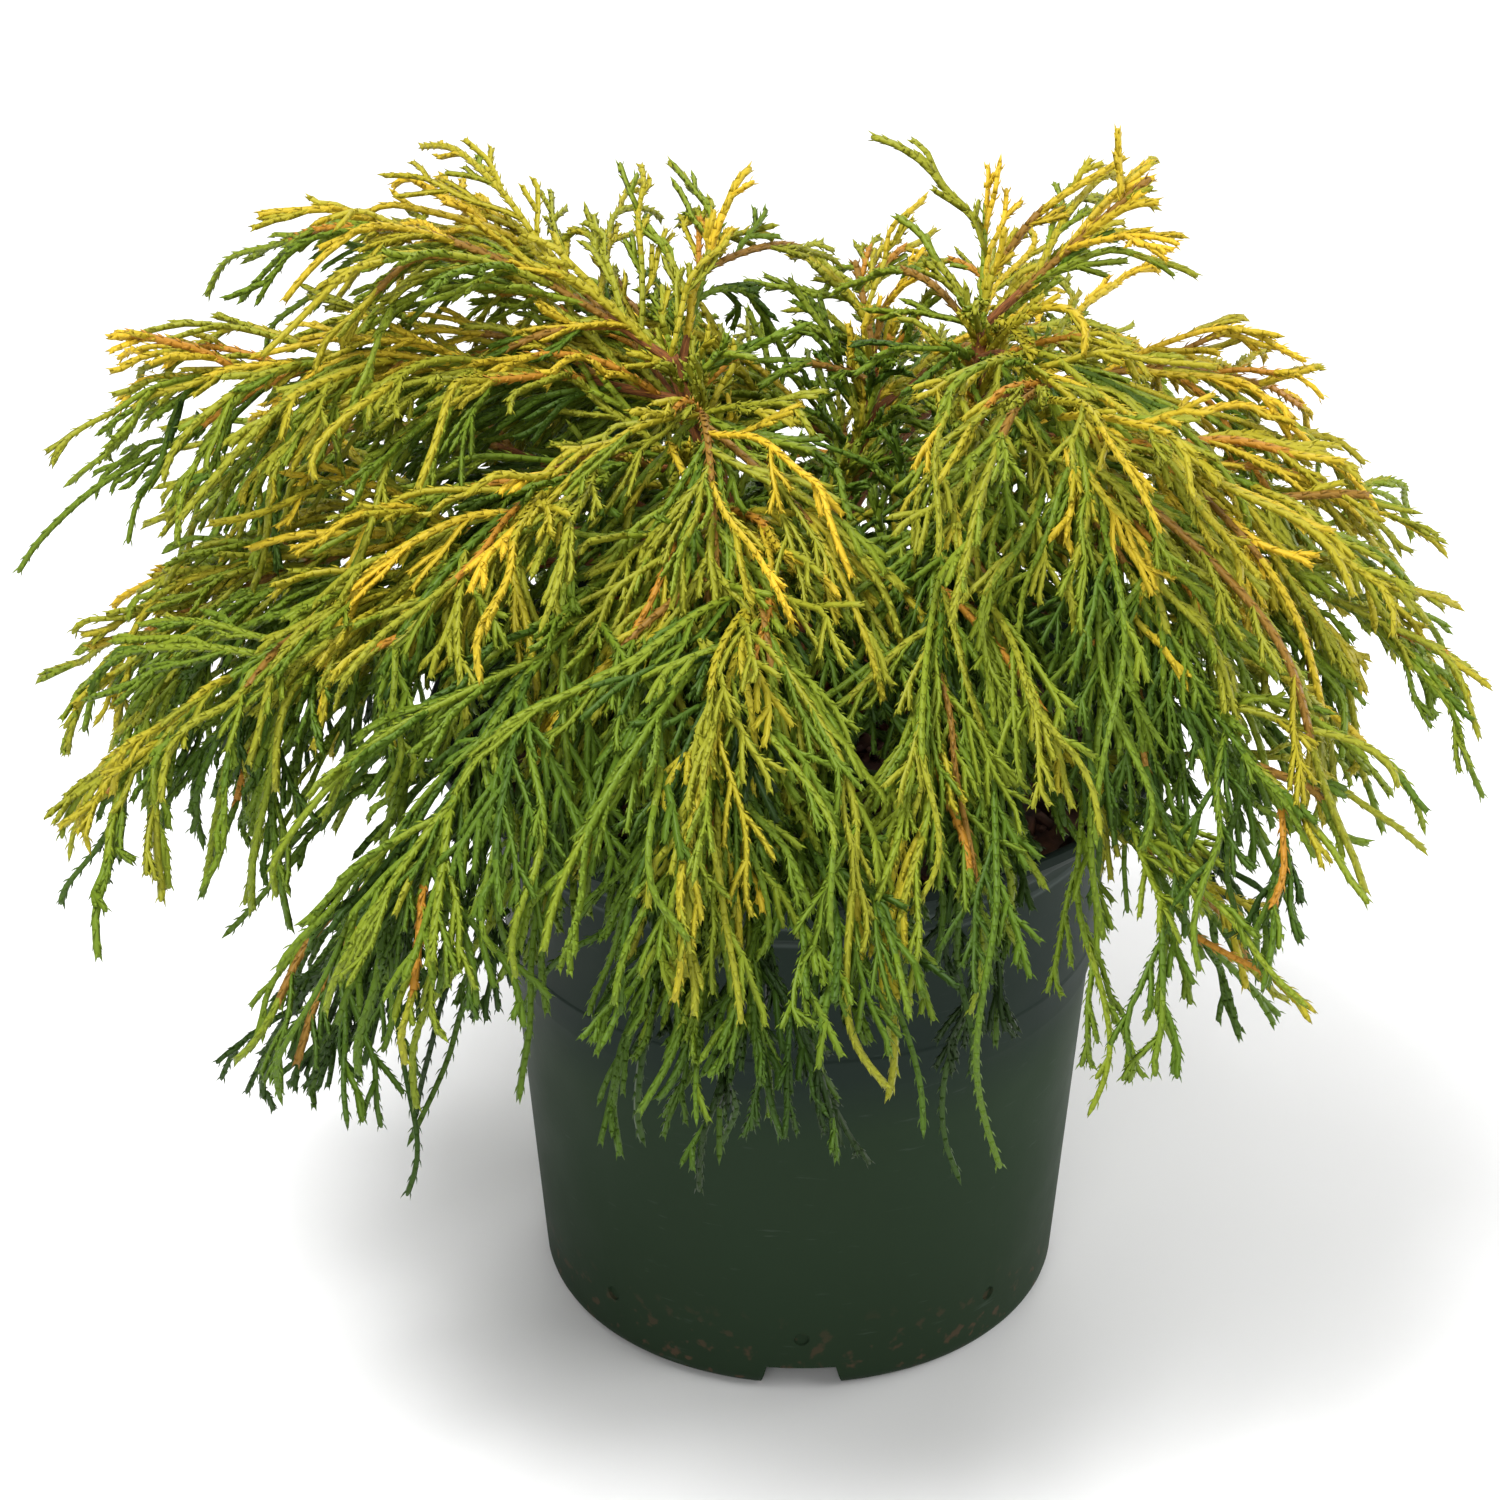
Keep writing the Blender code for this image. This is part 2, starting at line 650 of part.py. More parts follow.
def grow_spray(plant, name, line, length):
    """A spray's blade as far as it has room, or nothing where that is too short."""
    rings, cores, tip = spray_stations(line, length)
    pieces = len(rings)
    kept = []
    free = 0
    for index in range(1, pieces + 1):
        shares = [(index - 1 + part / RING_PARTS) / pieces for part in range(RING_PARTS + 1)]
        step = [along(line, share)[0] for share in shares]
        centres, radii = balls_along(step, linear(CORE_BALL_RADIUS, CORE_BALL_RADIUS))
        if index < pieces:
            apex = max(rings[index][:2], key=lambda corner: (corner - cores[index]).length)
            following = cores[index + 1] if index + 1 < pieces else tip
            shares = [(part + 1.0) / TOOTH_BALLS for part in range(TOOTH_BALLS)]
            tooth = [(cores[index] + (apex - cores[index]) * share)[:] for share in shares]
            tooth += [(following + (apex - following) * share)[:] for share in shares]
            centres = np.concatenate([centres, np.array(tooth)])
            radii = np.concatenate([radii, np.full(len(tooth), TOOTH_BALL_RADIUS)])
        if plant.room.blocked((centres, radii), line[0], name):
            break
        kept.append((centres, radii))
        free = index
    if free < FEWEST_TEETH + 1:
        return None
    for balls in kept:
        plant.room.add(name, balls)
    if free < pieces:
        return spray_mesh(rings[:free], cores[free])
    return spray_mesh(rings, tip)


def make_foliage(name, line, length, seed, plant, carrier=None):
    """One mass: a shoot and the sprays along it, joined by one union."""
    draws = random.Random(seed)
    radius_at = linear(SHOOT_ROOT_RADIUS, SHOOT_TIP_RADIUS)
    points = resampled(line, SHOOT_PIECES)
    radii = [radius_at(index / SHOOT_PIECES) for index in range(SHOOT_PIECES + 1)]
    twigs = new_collection(f"{name}_twigs")
    for spray_line, spray_length in shoot_sprays(points, length, draws):
        mesh = grow_spray(plant, name, spray_line, spray_length)
        if mesh is not None:
            add_object("spray", mesh, twigs)
    shoot_mesh = tube_mesh(f"{name}_shoot", points, radii, plant.parts, SHOOT_RESOLUTION)
    made = add_object(f"{name}_shoot", shoot_mesh, plant.parts)
    if carrier is not None:
        carrier.seat(made)
    join = made.modifiers.new("Join", "BOOLEAN")
    join.operation = "UNION"
    join.operand_type = "COLLECTION"
    join.collection = twigs
    mesh = evaluated_mesh(made, name, FINE_MERGE)
    for twig in list(twigs.objects):
        bpy.data.objects.remove(twig)
    bpy.data.collections.remove(twigs)
    mesh.materials.clear()
    return add_object(name, mesh, plant.parts, plant.needles)


def low_boughs():
    """The ring of low boughs that spread over the pot's lip, shorter and steeper towards one side."""
    for index in range(LOW_COUNT):
        turn = index % 2
        azimuth = LOW_FIRST + 360.0 * index / LOW_COUNT
        short = max(0.0, math.cos(math.radians(azimuth - LOW_SHORT_SIDE)))
        yield Bough(
            f"bough_low_{index + 1}",
            "trunk",
            LOW_SEATS[turn],
            azimuth,
            LOW_RISES[turn] + LOW_STEEPER * short,
            LOW_LENGTHS[turn],
            LOW_SHOOTS[turn] - LOW_SHORTER * short,
            LOW_SAG,
        )


def grow_plant(plant):
    make_trunk(plant)
    for leader in LEADERS:
        make_leader(leader, plant)
    boughs = list(low_boughs()) + list(MIDDLE_BOUGHS)
    shoots = []
    for bough in boughs:
        limb = make_bough(bough, plant)
        end, way = along(limb.points, 1.0)
        line = arch(end + way * GAP, way, bough.shoot, bough.sag)
        shoots.append((bough.name.replace("bough", "foliage"), line, bough.shoot, None))
    for spray in CROWN_SPRAYS:
        carrier = plant.limbs[spray.carrier]
        start, _ = along(carrier.points, min(spray.seat, LEADER_LAST_SEAT))
        line = arch(start, direction(spray.azimuth, spray.rise), spray.shoot, spray.sag)
        shoots.append((spray.name, line, spray.shoot, carrier))
    radius_at = linear(SHOOT_ROOT_RADIUS, SHOOT_TIP_RADIUS)
    for name, line, _, _ in shoots:
        plant.room.add(name, balls_along(resampled(line, SHOOT_PIECES), radius_at))
    for index, (name, line, length, carrier) in enumerate(shoots):
        make_foliage(name, line, length, SEED + index, plant, carrier)


for old in list(bpy.data.objects):
    bpy.data.objects.remove(old)
parts_collection = new_collection("potted_golden_mop_cypress")
pot_cutters = new_collection("pot_cutters", hidden=True)
limb_sleeves = new_collection("limb_sleeves", hidden=True)
pot_plastic = plain_material("green_plastic", (0.026, 0.045, 0.030), 0.42)
mulch = plain_material("bark_mulch", (0.060, 0.022, 0.012), 0.95)
bark_brown = plain_material("bark", (0.155, 0.060, 0.032), 0.85)
needle_green = plain_material("needles", (0.290, 0.300, 0.030), 0.65)
make_pot(parts_collection, pot_cutters, pot_plastic)
make_soil(parts_collection, mulch)
grow_plant(Plant(parts_collection, limb_sleeves, bark_brown, needle_green))
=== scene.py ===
import math
import random

import bpy
import numpy as np
from mathutils import Matrix, Vector, noise


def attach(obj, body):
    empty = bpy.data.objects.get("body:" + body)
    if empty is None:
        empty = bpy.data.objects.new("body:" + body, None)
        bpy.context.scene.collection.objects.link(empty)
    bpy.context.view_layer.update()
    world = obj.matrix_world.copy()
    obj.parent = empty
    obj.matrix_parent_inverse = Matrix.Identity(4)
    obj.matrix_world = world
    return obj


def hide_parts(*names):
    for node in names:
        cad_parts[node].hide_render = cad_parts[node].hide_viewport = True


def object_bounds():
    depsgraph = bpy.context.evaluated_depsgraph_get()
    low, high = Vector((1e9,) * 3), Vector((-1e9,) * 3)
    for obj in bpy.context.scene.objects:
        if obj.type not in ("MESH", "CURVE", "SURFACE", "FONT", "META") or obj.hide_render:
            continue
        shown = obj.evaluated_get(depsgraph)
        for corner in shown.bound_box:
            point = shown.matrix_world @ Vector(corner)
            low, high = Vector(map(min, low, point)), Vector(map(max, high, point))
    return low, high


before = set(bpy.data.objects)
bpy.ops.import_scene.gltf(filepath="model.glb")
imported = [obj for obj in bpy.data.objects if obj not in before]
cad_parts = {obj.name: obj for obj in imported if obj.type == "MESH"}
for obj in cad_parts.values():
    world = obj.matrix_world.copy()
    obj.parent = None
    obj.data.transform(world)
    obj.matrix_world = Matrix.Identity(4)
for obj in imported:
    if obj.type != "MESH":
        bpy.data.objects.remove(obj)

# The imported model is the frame. Its box is kept before anything is added or hidden, and the
# nodes that are still selected after loading are let go, so that no operator reaches them.
cad_box = [list(corner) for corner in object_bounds()]
bpy.ops.object.select_all(action="DESELECT")
bpy.context.scene.unit_settings.system = "METRIC"
UP = Vector((0.0, 0.0, 1.0))


# Nursery pot: injection-moulded dark green plastic, thin in the wall, with a flared lip, two thin
# moulding lines under it, a ledge where the pots stack, and four drain slots in a rounded foot.
POT_SIDES = 160
POT_HEIGHT = 0.166
LIP_RADIUS = 0.096
LIP_BAND = 0.0035
LIP_THICKNESS = 0.0020
WALL_FOOT_RADIUS = 0.0688
WALL_SLOPE = 0.080
WALL_THICKNESS = 0.0016
FLARE_START = 0.149
FLARE_END = 0.1585
FLARE_REACH = 0.0112
LEDGE_LOW = 0.0945
LEDGE_HIGH = 0.0985
LEDGE_DEPTH = 0.0007
LINE_HEIGHTS = (0.1440, 0.1075)
LINE_DEPTH = 0.00022
LINE_WIDTH = 0.0007
FOOT_ROUNDING = 0.006
FOOT_STEPS = 8
FLOOR_HEIGHT = 0.0105
FLOOR_CORNER = 0.006
RECESS_DEPTH = 0.0082
RECESS_INNER = 0.015
RECESS_OUTER = 0.044
NOTCH_COUNT = 4
NOTCH_HEIGHT = 0.0078
NOTCH_WIDTH_LOW = 0.0227
NOTCH_WIDTH_HIGH = 0.0180
DRAIN_COUNT = 8
DRAIN_HEIGHT = 0.0175
DRAIN_RADIUS = 0.0024
FRONT = -90.0


def wall_radius(height):
    return WALL_FOOT_RADIUS + WALL_SLOPE * height


def apply_modifier(piece, kind, **settings):
    """Puts one modifier on a piece and applies it."""
    bpy.ops.object.select_all(action="DESELECT")
    piece.select_set(True)
    bpy.context.view_layer.objects.active = piece
    bpy.ops.object.modifier_add(type=kind)
    modifier = piece.modifiers[-1]
    for name, value in settings.items():
        setattr(modifier, name, value)
    bpy.ops.object.modifier_apply(modifier=modifier.name)


def turned(name, profile, sides):
    """A turned solid: a ring that is extruded and sized from each place of its profile to the next."""
    bpy.ops.object.select_all(action="DESELECT")
    radius, height = profile[0]
    bpy.ops.mesh.primitive_circle_add(vertices=sides, radius=radius, location=(0.0, 0.0, height))
    piece = bpy.context.object
    piece.name = name
    piece.data.name = name
    bpy.ops.object.transform_apply(location=True, rotation=True, scale=True)
    bpy.ops.object.mode_set(mode="EDIT")
    bpy.ops.mesh.select_all(action="SELECT")
    bpy.ops.mesh.edge_face_add()
    bpy.ops.mesh.select_mode(type="EDGE")
    for next_radius, next_height in profile[1:]:
        rise = (0.0, 0.0, next_height - height)
        bpy.ops.mesh.extrude_edges_move(TRANSFORM_OT_translate={"value": rise})
        share = next_radius / radius
        bpy.ops.transform.resize(value=(share, share, 1.0), center_override=(0.0, 0.0, next_height))
        radius, height = next_radius, next_height
    bpy.ops.mesh.edge_face_add()
    bpy.ops.mesh.select_all(action="SELECT")
    bpy.ops.mesh.normals_make_consistent(inside=False)
    bpy.ops.object.mode_set(mode="OBJECT")
    return piece


def pot_profile():
    """The pot's section: from the middle of its floor up the inside, over the lip and down the outside."""
    throat = wall_radius(FLARE_START)
    flare = throat + FLARE_REACH
    points = [
        (0.010, FLOOR_HEIGHT),
        (wall_radius(FLOOR_HEIGHT) - WALL_THICKNESS - FLOOR_CORNER - LEDGE_DEPTH, FLOOR_HEIGHT),
        (wall_radius(FLOOR_HEIGHT + FLOOR_CORNER) - WALL_THICKNESS - LEDGE_DEPTH, FLOOR_HEIGHT + FLOOR_CORNER),
        (throat - WALL_THICKNESS - LEDGE_DEPTH, FLARE_START),
        (flare - WALL_THICKNESS - 0.0012, FLARE_END + 0.0004),
        (flare - WALL_THICKNESS + 0.0002, FLARE_END + 0.0016),
        (LIP_RADIUS - LIP_THICKNESS, POT_HEIGHT - 0.0006),
        (LIP_RADIUS - LIP_THICKNESS + 0.0005, POT_HEIGHT),
        (LIP_RADIUS - 0.0005, POT_HEIGHT),
        (LIP_RADIUS, POT_HEIGHT - 0.0006),
        (LIP_RADIUS, POT_HEIGHT - LIP_BAND + 0.0004),
        (LIP_RADIUS - 0.0004, POT_HEIGHT - LIP_BAND),
        (LIP_RADIUS - 0.0014, POT_HEIGHT - LIP_BAND - 0.0003),
        (flare + 0.0004, FLARE_END + 0.0006),
        (flare - 0.0006, FLARE_END - 0.0008),
        (throat + 0.0016, FLARE_START + 0.0012),
        (throat, FLARE_START - 0.0012),
    ]
    for height in LINE_HEIGHTS:
        radius = wall_radius(height)
        points += [
            (radius, height + LINE_WIDTH),
            (radius + LINE_DEPTH, height + 0.3 * LINE_WIDTH),
            (radius + LINE_DEPTH, height - 0.3 * LINE_WIDTH),
            (radius, height - LINE_WIDTH),
        ]
    points += [
        (wall_radius(LEDGE_HIGH) + 0.0001, LEDGE_HIGH + 0.0006),
        (wall_radius(LEDGE_HIGH) - 0.0001, LEDGE_HIGH - 0.0002),
        (wall_radius(LEDGE_LOW) - LEDGE_DEPTH, LEDGE_LOW),
    ]
    foot = wall_radius(FOOT_ROUNDING) - LEDGE_DEPTH
    for step in range(FOOT_STEPS + 1):
        angle = math.radians(90.0 * step / FOOT_STEPS)
        points.append((foot - FOOT_ROUNDING * (1.0 - math.cos(angle)), FOOT_ROUNDING * (1.0 - math.sin(angle))))
    points += [
        (RECESS_OUTER + 0.0012, 0.0),
        (RECESS_OUTER + 0.0004, 0.0006),
        (RECESS_OUTER, RECESS_DEPTH),
        (RECESS_INNER + 0.001, RECESS_DEPTH),
        (RECESS_INNER, 0.0),
    ]
    return points


def cut(piece, cutter):
    """Takes a cutter's shape out of a piece, and removes the cutter."""
    apply_modifier(piece, "BOOLEAN", operation="DIFFERENCE", object=cutter, solver="EXACT")
    bpy.data.objects.remove(cutter)


pot = turned("pot_shell", pot_profile(), POT_SIDES)
for index in range(NOTCH_COUNT):
    bpy.ops.mesh.primitive_cube_add(size=1.0)
    notch = bpy.context.object
    for vert in notch.data.vertices:
        width = NOTCH_WIDTH_HIGH if vert.co.z > 0.0 else NOTCH_WIDTH_LOW
        vert.co.x = WALL_FOOT_RADIUS + 0.006 if vert.co.x > 0.0 else RECESS_OUTER - 0.003
        vert.co.y = math.copysign(width / 2.0, vert.co.y)
        vert.co.z = NOTCH_HEIGHT if vert.co.z > 0.0 else -0.002
    notch.rotation_euler.z = math.radians(FRONT + 360.0 * index / NOTCH_COUNT)
    cut(pot, notch)
for index in range(DRAIN_COUNT):
    around = math.radians(FRONT + 360.0 * index / DRAIN_COUNT)
    outward = Vector((math.cos(around), math.sin(around), 0.0))
    bpy.ops.mesh.primitive_cone_add(
        vertices=24, radius1=DRAIN_RADIUS * 0.75, radius2=DRAIN_RADIUS * 1.5, depth=0.006
    )
    drain = bpy.context.object
    drain.rotation_euler = outward.to_track_quat("Z", "X").to_euler()
    drain.location = outward * (wall_radius(DRAIN_HEIGHT) - LEDGE_DEPTH + 0.0021) + UP * DRAIN_HEIGHT
    cut(pot, drain)
bpy.ops.object.select_all(action="DESELECT")
pot.select_set(True)
bpy.context.view_layer.objects.active = pot
bpy.ops.object.shade_smooth_by_angle(angle=math.radians(28.0))


def new_material(name, color, roughness):
    """A material with its shader's plain values, and its nodes and links to go on with."""
    material = bpy.data.materials.new(name)
    material.use_nodes = True
    nodes, links = material.node_tree.nodes, material.node_tree.links
    shader = nodes["Principled BSDF"]
    shader.inputs["Base Color"].default_value = (*color, 1.0)
    shader.inputs["Roughness"].default_value = roughness
    return material, nodes, links, shader


def noise_node(nodes, links, coordinates, scale, detail, stretch=(1.0, 1.0, 1.0)):
    """A noise pattern on the given coordinates, stretched along an axis where that is wanted."""
    mapping = nodes.new("ShaderNodeMapping")
    mapping.inputs["Scale"].default_value = stretch
    links.new(coordinates, mapping.inputs["Vector"])
    pattern = nodes.new("ShaderNodeTexNoise")
    pattern.inputs["Scale"].default_value = scale
    pattern.inputs["Detail"].default_value = detail
    links.new(mapping.outputs["Vector"], pattern.inputs["Vector"])
    return pattern.outputs["Fac"]


def ramp_node(nodes, links, factor, stops):
    """A colour ramp through (place, colour) stops."""
    ramp = nodes.new("ShaderNodeValToRGB")
    ramp.color_ramp.elements[0].position, color = stops[0]
    ramp.color_ramp.elements[0].color = (*color, 1.0)
    ramp.color_ramp.elements[1].position, color = stops[-1]
    ramp.color_ramp.elements[1].color = (*color, 1.0)
    for place, color in stops[1:-1]:
        ramp.color_ramp.elements.new(place).color = (*color, 1.0)
    links.new(factor, ramp.inputs["Fac"])
    return ramp.outputs["Color"]


def mix_node(nodes, links, factor, low, high):
    """One colour over another, by a factor that is a number or an output."""
    mix = nodes.new("ShaderNodeMix")
    mix.data_type = "RGBA"
    for socket, value in ((mix.inputs["Factor"], factor), (mix.inputs[6], low), (mix.inputs[7], high)):
        if isinstance(value, bpy.types.NodeSocket):
            links.new(value, socket)
        elif isinstance(value, tuple):
            socket.default_value = (*value, 1.0)
        else:
            socket.default_value = value
    return mix.outputs[2]


def bump_node(nodes, links, shader, height, strength, distance):
    bump = nodes.new("ShaderNodeBump")
    bump.inputs["Strength"].default_value = strength
    bump.inputs["Distance"].default_value = distance
    links.new(height, bump.inputs["Height"])
    links.new(bump.outputs["Normal"], shader.inputs["Normal"])


def number_node(nodes, links, operation, first, second, clamp=False):
    """A sum on numbers or outputs."""
    made = nodes.new("ShaderNodeMath")
    made.operation = operation
    made.use_clamp = clamp
    for socket, value in zip(made.inputs, (first, second)):
        if isinstance(value, bpy.types.NodeSocket):
            links.new(value, socket)
        else:
            socket.default_value = value
    return made.outputs["Value"]


GREEN_LOW = (0.0175, 0.0315, 0.0165)
GREEN_MIDDLE = (0.0190, 0.0335, 0.0180)
GREEN_HIGH_PAINTED_SHADE = (0.0150, 0.0235, 0.0190)
LINE_PAINTED_HIGHLIGHT = (0.045, 0.058, 0.052)
LINE_SPREAD = 0.0006
SCUFF_PALE = (0.110, 0.135, 0.120)
SOIL_DUST = (0.070, 0.045, 0.028)
plastic, nodes, links, shader = new_material("pot_green_plastic", GREEN_MIDDLE, 0.4)
place = nodes.new("ShaderNodeTexCoord").outputs["Object"]
height = nodes.new("ShaderNodeSeparateXYZ")
links.new(place, height.inputs["Vector"])
share = number_node(nodes, links, "DIVIDE", height.outputs["Z"], POT_HEIGHT, clamp=True)
# The wall above about 0.6 of its height is painted darker: painted shade where the hanging foliage shades it.
body = ramp_node(nodes, links, share, [(0.0, GREEN_LOW), (0.5, GREEN_MIDDLE), (0.62, GREEN_HIGH_PAINTED_SHADE), (1.0, GREEN_HIGH_PAINTED_SHADE)])
cloud = noise_node(nodes, links, place, 22.0, 3.0)
body = mix_node(nodes, links, ramp_node(nodes, links, cloud, [(0.4, (0, 0, 0)), (0.75, (0.35, 0.35, 0.35))]),
                body, (0.0190, 0.0300, 0.0160))
scuffs = noise_node(nodes, links, place, 90.0, 6.0, stretch=(1.0, 1.0, 7.0))
body = mix_node(nodes, links, ramp_node(nodes, links, scuffs, [(0.66, (0, 0, 0)), (0.76, (0.16, 0.16, 0.16))]),
                body, SCUFF_PALE)
specks = noise_node(nodes, links, place, 240.0, 2.0)
near_foot = ramp_node(nodes, links, share, [(0.02, (1, 1, 1)), (0.16, (0, 0, 0))])
speck_mask = ramp_node(nodes, links, specks, [(0.60, (0, 0, 0)), (0.68, (1, 1, 1))])
dirt = mix_node(nodes, links, near_foot, (0.0, 0.0, 0.0), speck_mask)
body = mix_node(nodes, links, dirt, body, SOIL_DUST)
# A pale band at the upper moulding line and at the foot of the flare: painted highlight where these edges catch the
# light.
for line_height in (LINE_HEIGHTS[0], FLARE_START):
    middle = line_height / POT_HEIGHT
    spread = LINE_SPREAD / POT_HEIGHT
    stops = [(middle - 2 * spread, (0, 0, 0)), (middle - spread, (1, 1, 1)), (middle + spread, (1, 1, 1))]
    line = ramp_node(nodes, links, share, stops + [(middle + 2 * spread, (0, 0, 0))])
    body = mix_node(nodes, links, line, body, LINE_PAINTED_HIGHLIGHT)
links.new(body, shader.inputs["Base Color"])
rough = ramp_node(nodes, links, noise_node(nodes, links, place, 35.0, 4.0), [(0.3, (0.44,) * 3), (0.8, (0.60,) * 3)])
links.new(rough, shader.inputs["Roughness"])
bump_node(nodes, links, shader, noise_node(nodes, links, place, 900.0, 2.0), 0.10, 0.0002)
shader.inputs["IOR"].default_value = 1.16
shader.inputs["Specular IOR Level"].default_value = 0.25
pot.data.materials.clear()
pot.data.materials.append(plastic)
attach(pot, "root")
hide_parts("pot")


# Potting mix under a mulch of fine bark: a dark, uneven filling to just under the lip, with
# red-brown chips of bark that lie loose on it at all angles.
SOIL_TOP = 0.152
SOIL_RADIUS = 0.0772
SOIL_SIDES = 96
CHIP_COUNT = 900
CHIP_LENGTH = (0.004, 0.012)
mix = turned(
    "potting_mix",
    [(0.0005, SOIL_TOP)]
    + [(SOIL_RADIUS * step / 24.0, SOIL_TOP) for step in range(1, 25)]
    + [(SOIL_RADIUS - 0.001, SOIL_TOP - 0.012), (SOIL_RADIUS - 0.030, SOIL_TOP - 0.016)],
    SOIL_SIDES,
)
for vert in mix.data.vertices:
    if vert.co.z > SOIL_TOP - 0.001:
        edge = min(1.0, (SOIL_RADIUS - math.hypot(vert.co.x, vert.co.y)) / 0.01)
        vert.co.z += 0.0024 * noise.noise(vert.co * 55.0) + 0.0012 * noise.noise(vert.co * 190.0) - 0.002 * (1.0 - edge)
bpy.ops.object.shade_smooth_by_angle(angle=math.radians(60.0))


def add_mesh(name, corners, faces, material):
    """A piece from arrays: its corners, and its faces of three or four corners each."""
    mesh = bpy.data.meshes.new(name)
    corners = np.asarray(corners, dtype=np.float32)
    faces = np.asarray(faces, dtype=np.int32)
    count, sides = faces.shape
    mesh.vertices.add(len(corners))
    mesh.vertices.foreach_set("co", corners.ravel())
    mesh.loops.add(count * sides)
    mesh.loops.foreach_set("vertex_index", faces.ravel())
    mesh.polygons.add(count)
    mesh.polygons.foreach_set("loop_start", np.arange(0, count * sides, sides, dtype=np.int32))
    mesh.update(calc_edges=True)
    mesh.validate()
    mesh.materials.append(material)
    piece = bpy.data.objects.new(name, mesh)
    bpy.context.scene.collection.objects.link(piece)
    return piece


BOX_FACES = np.array([(0, 3, 2, 1), (4, 5, 6, 7), (0, 1, 5, 4), (1, 2, 6, 5), (2, 3, 7, 6), (3, 0, 4, 7)])
BOX_CORNERS = np.array(
    [(-1, -1, -1), (1, -1, -1), (1, 1, -1), (-1, 1, -1), (-1, -1, 1), (1, -1, 1), (1, 1, 1), (-1, 1, 1)]
)
draws = random.Random(7)
chip_corners = []
chip_faces = []
for index in range(CHIP_COUNT):
    reach = (SOIL_RADIUS - 0.004) * math.sqrt(draws.random())
    around = draws.uniform(0.0, 2.0 * math.pi)
    length = draws.uniform(*CHIP_LENGTH) * draws.uniform(0.6, 1.0)
    size = (length / 2.0, length * draws.uniform(0.12, 0.3), length * draws.uniform(0.05, 0.12))
    shape = BOX_CORNERS * size
    shape = shape * [[1.0 - 0.35 * draws.random(), 1.0 - 0.5 * draws.random(), 1.0] for _ in range(8)]
    turn = Matrix.Rotation(draws.uniform(0.0, 6.28), 3, "Z") @ Matrix.Rotation(draws.gauss(0.0, 0.35), 3, "Y")
    turn = turn @ Matrix.Rotation(draws.gauss(0.0, 0.5), 3, "X")
    ground = SOIL_TOP + draws.uniform(0.0, 0.0035)
    place = (reach * math.cos(around), reach * math.sin(around), ground)
    chip_faces.append(BOX_FACES + 8 * index)
    chip_corners.append(shape @ np.array(turn).T + place)
mulch, nodes, links, shader = new_material("bark_mulch", (0.06, 0.022, 0.012), 0.9)
place = nodes.new("ShaderNodeTexCoord").outputs["Object"]
grain = noise_node(nodes, links, place, 320.0, 4.0)
patch = noise_node(nodes, links, place, 95.0, 2.0)
deep = ramp_node(nodes, links, grain, [(0.3, (0.018, 0.008, 0.006)), (0.7, (0.075, 0.026, 0.015))])
pale = ramp_node(nodes, links, grain, [(0.3, (0.060, 0.022, 0.014)), (0.7, (0.170, 0.070, 0.040))])
links.new(mix_node(nodes, links, ramp_node(nodes, links, patch, [(0.45, (0, 0, 0)), (0.6, (1, 1, 1))]), deep, pale),
          shader.inputs["Base Color"])
bump_node(nodes, links, shader, grain, 0.5, 0.0006)
mix.data.materials.append(mulch)
chips = add_mesh("mulch_chips", np.concatenate(chip_corners), np.concatenate(chip_faces), mulch)
for piece in (mix, chips):
    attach(piece, "root")
    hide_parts("soil")


# Trunk, leaders and boughs: a low plant of several stems, in thin red-brown bark that splits into
# long fibres. The left leader goes on from the trunk, and the others and the boughs leave its sides.
GAP = 0.0003
ARCH_STEPS = 24
ROOT_SOFTNESS = 0.45
TIP_SOFTNESS = 1.55
TRUNK_HEIGHT = 0.031
TRUNK_FOOT_RADIUS = 0.0105
TRUNK_RADIUS = 0.0052
TRUNK_FLARE = 0.0035
TRUNK_LEAN = 0.006
TRUNK_RINGS = 24
LEADER_RADII = (0.0036, 0.0019)
BOUGH_RADII = (0.0024, 0.0014)
LEADER_STEPS = 28
LEADERS = {
    "leader_left": (1.00, (-0.012, 0.000, 0.222), (-0.033, 0.004, 0.262)),
    "leader_right": (0.55, (0.049, 0.004, 0.208), (0.043, 0.011, 0.268)),
    "leader_back": (0.78, (0.008, 0.034, 0.196), (0.020, 0.052, 0.236)),
}
LOW_COUNT = 8
LOW_FIRST = -96.0
LOW_SEATS = (0.12, 0.30)
LOW_RISES = (36.0, 27.0)
LOW_LENGTHS = (0.048, 0.054)
LOW_SHOOTS = (0.122, 0.132)
LOW_SAG = 12.5
LOW_SHORT_SIDE = -18.0
LOW_SHORTER = 0.032
LOW_STEEPER = 7.0
MIDDLE_BOUGHS = (
    ("trunk", 0.66, -99.0, 60.0, 0.045, 0.124, 19.0),
    ("leader_right", 0.24, -50.0, 34.0, 0.045, 0.112, 12.0),
    ("leader_right", 0.46, -14.0, 12.0, 0.040, 0.080, 8.0),
    ("leader_right", 0.36, 22.0, 18.0, 0.045, 0.086, 8.5),
    ("leader_back", 0.50, 66.0, 14.0, 0.040, 0.114, 9.0),
    ("leader_back", 0.38, 112.0, 18.0, 0.045, 0.118, 9.0),
    ("leader_left", 0.22, 150.0, 24.0, 0.050, 0.126, 8.5),
    ("leader_left", 0.36, 184.0, 12.0, 0.045, 0.112, 7.0),
    ("leader_left", 0.28, 209.0, 22.0, 0.050, 0.133, 8.0),
    ("leader_left", 0.14, 240.0, 38.0, 0.050, 0.134, 12.5),
)
BARK_SIDES = 12
BARK_PITCH = 0.0011


def direction(azimuth, rise):
    around = math.radians(azimuth)
    above = math.radians(rise)
    return Vector((math.cos(above) * math.cos(around), math.cos(above) * math.sin(around), math.sin(above)))


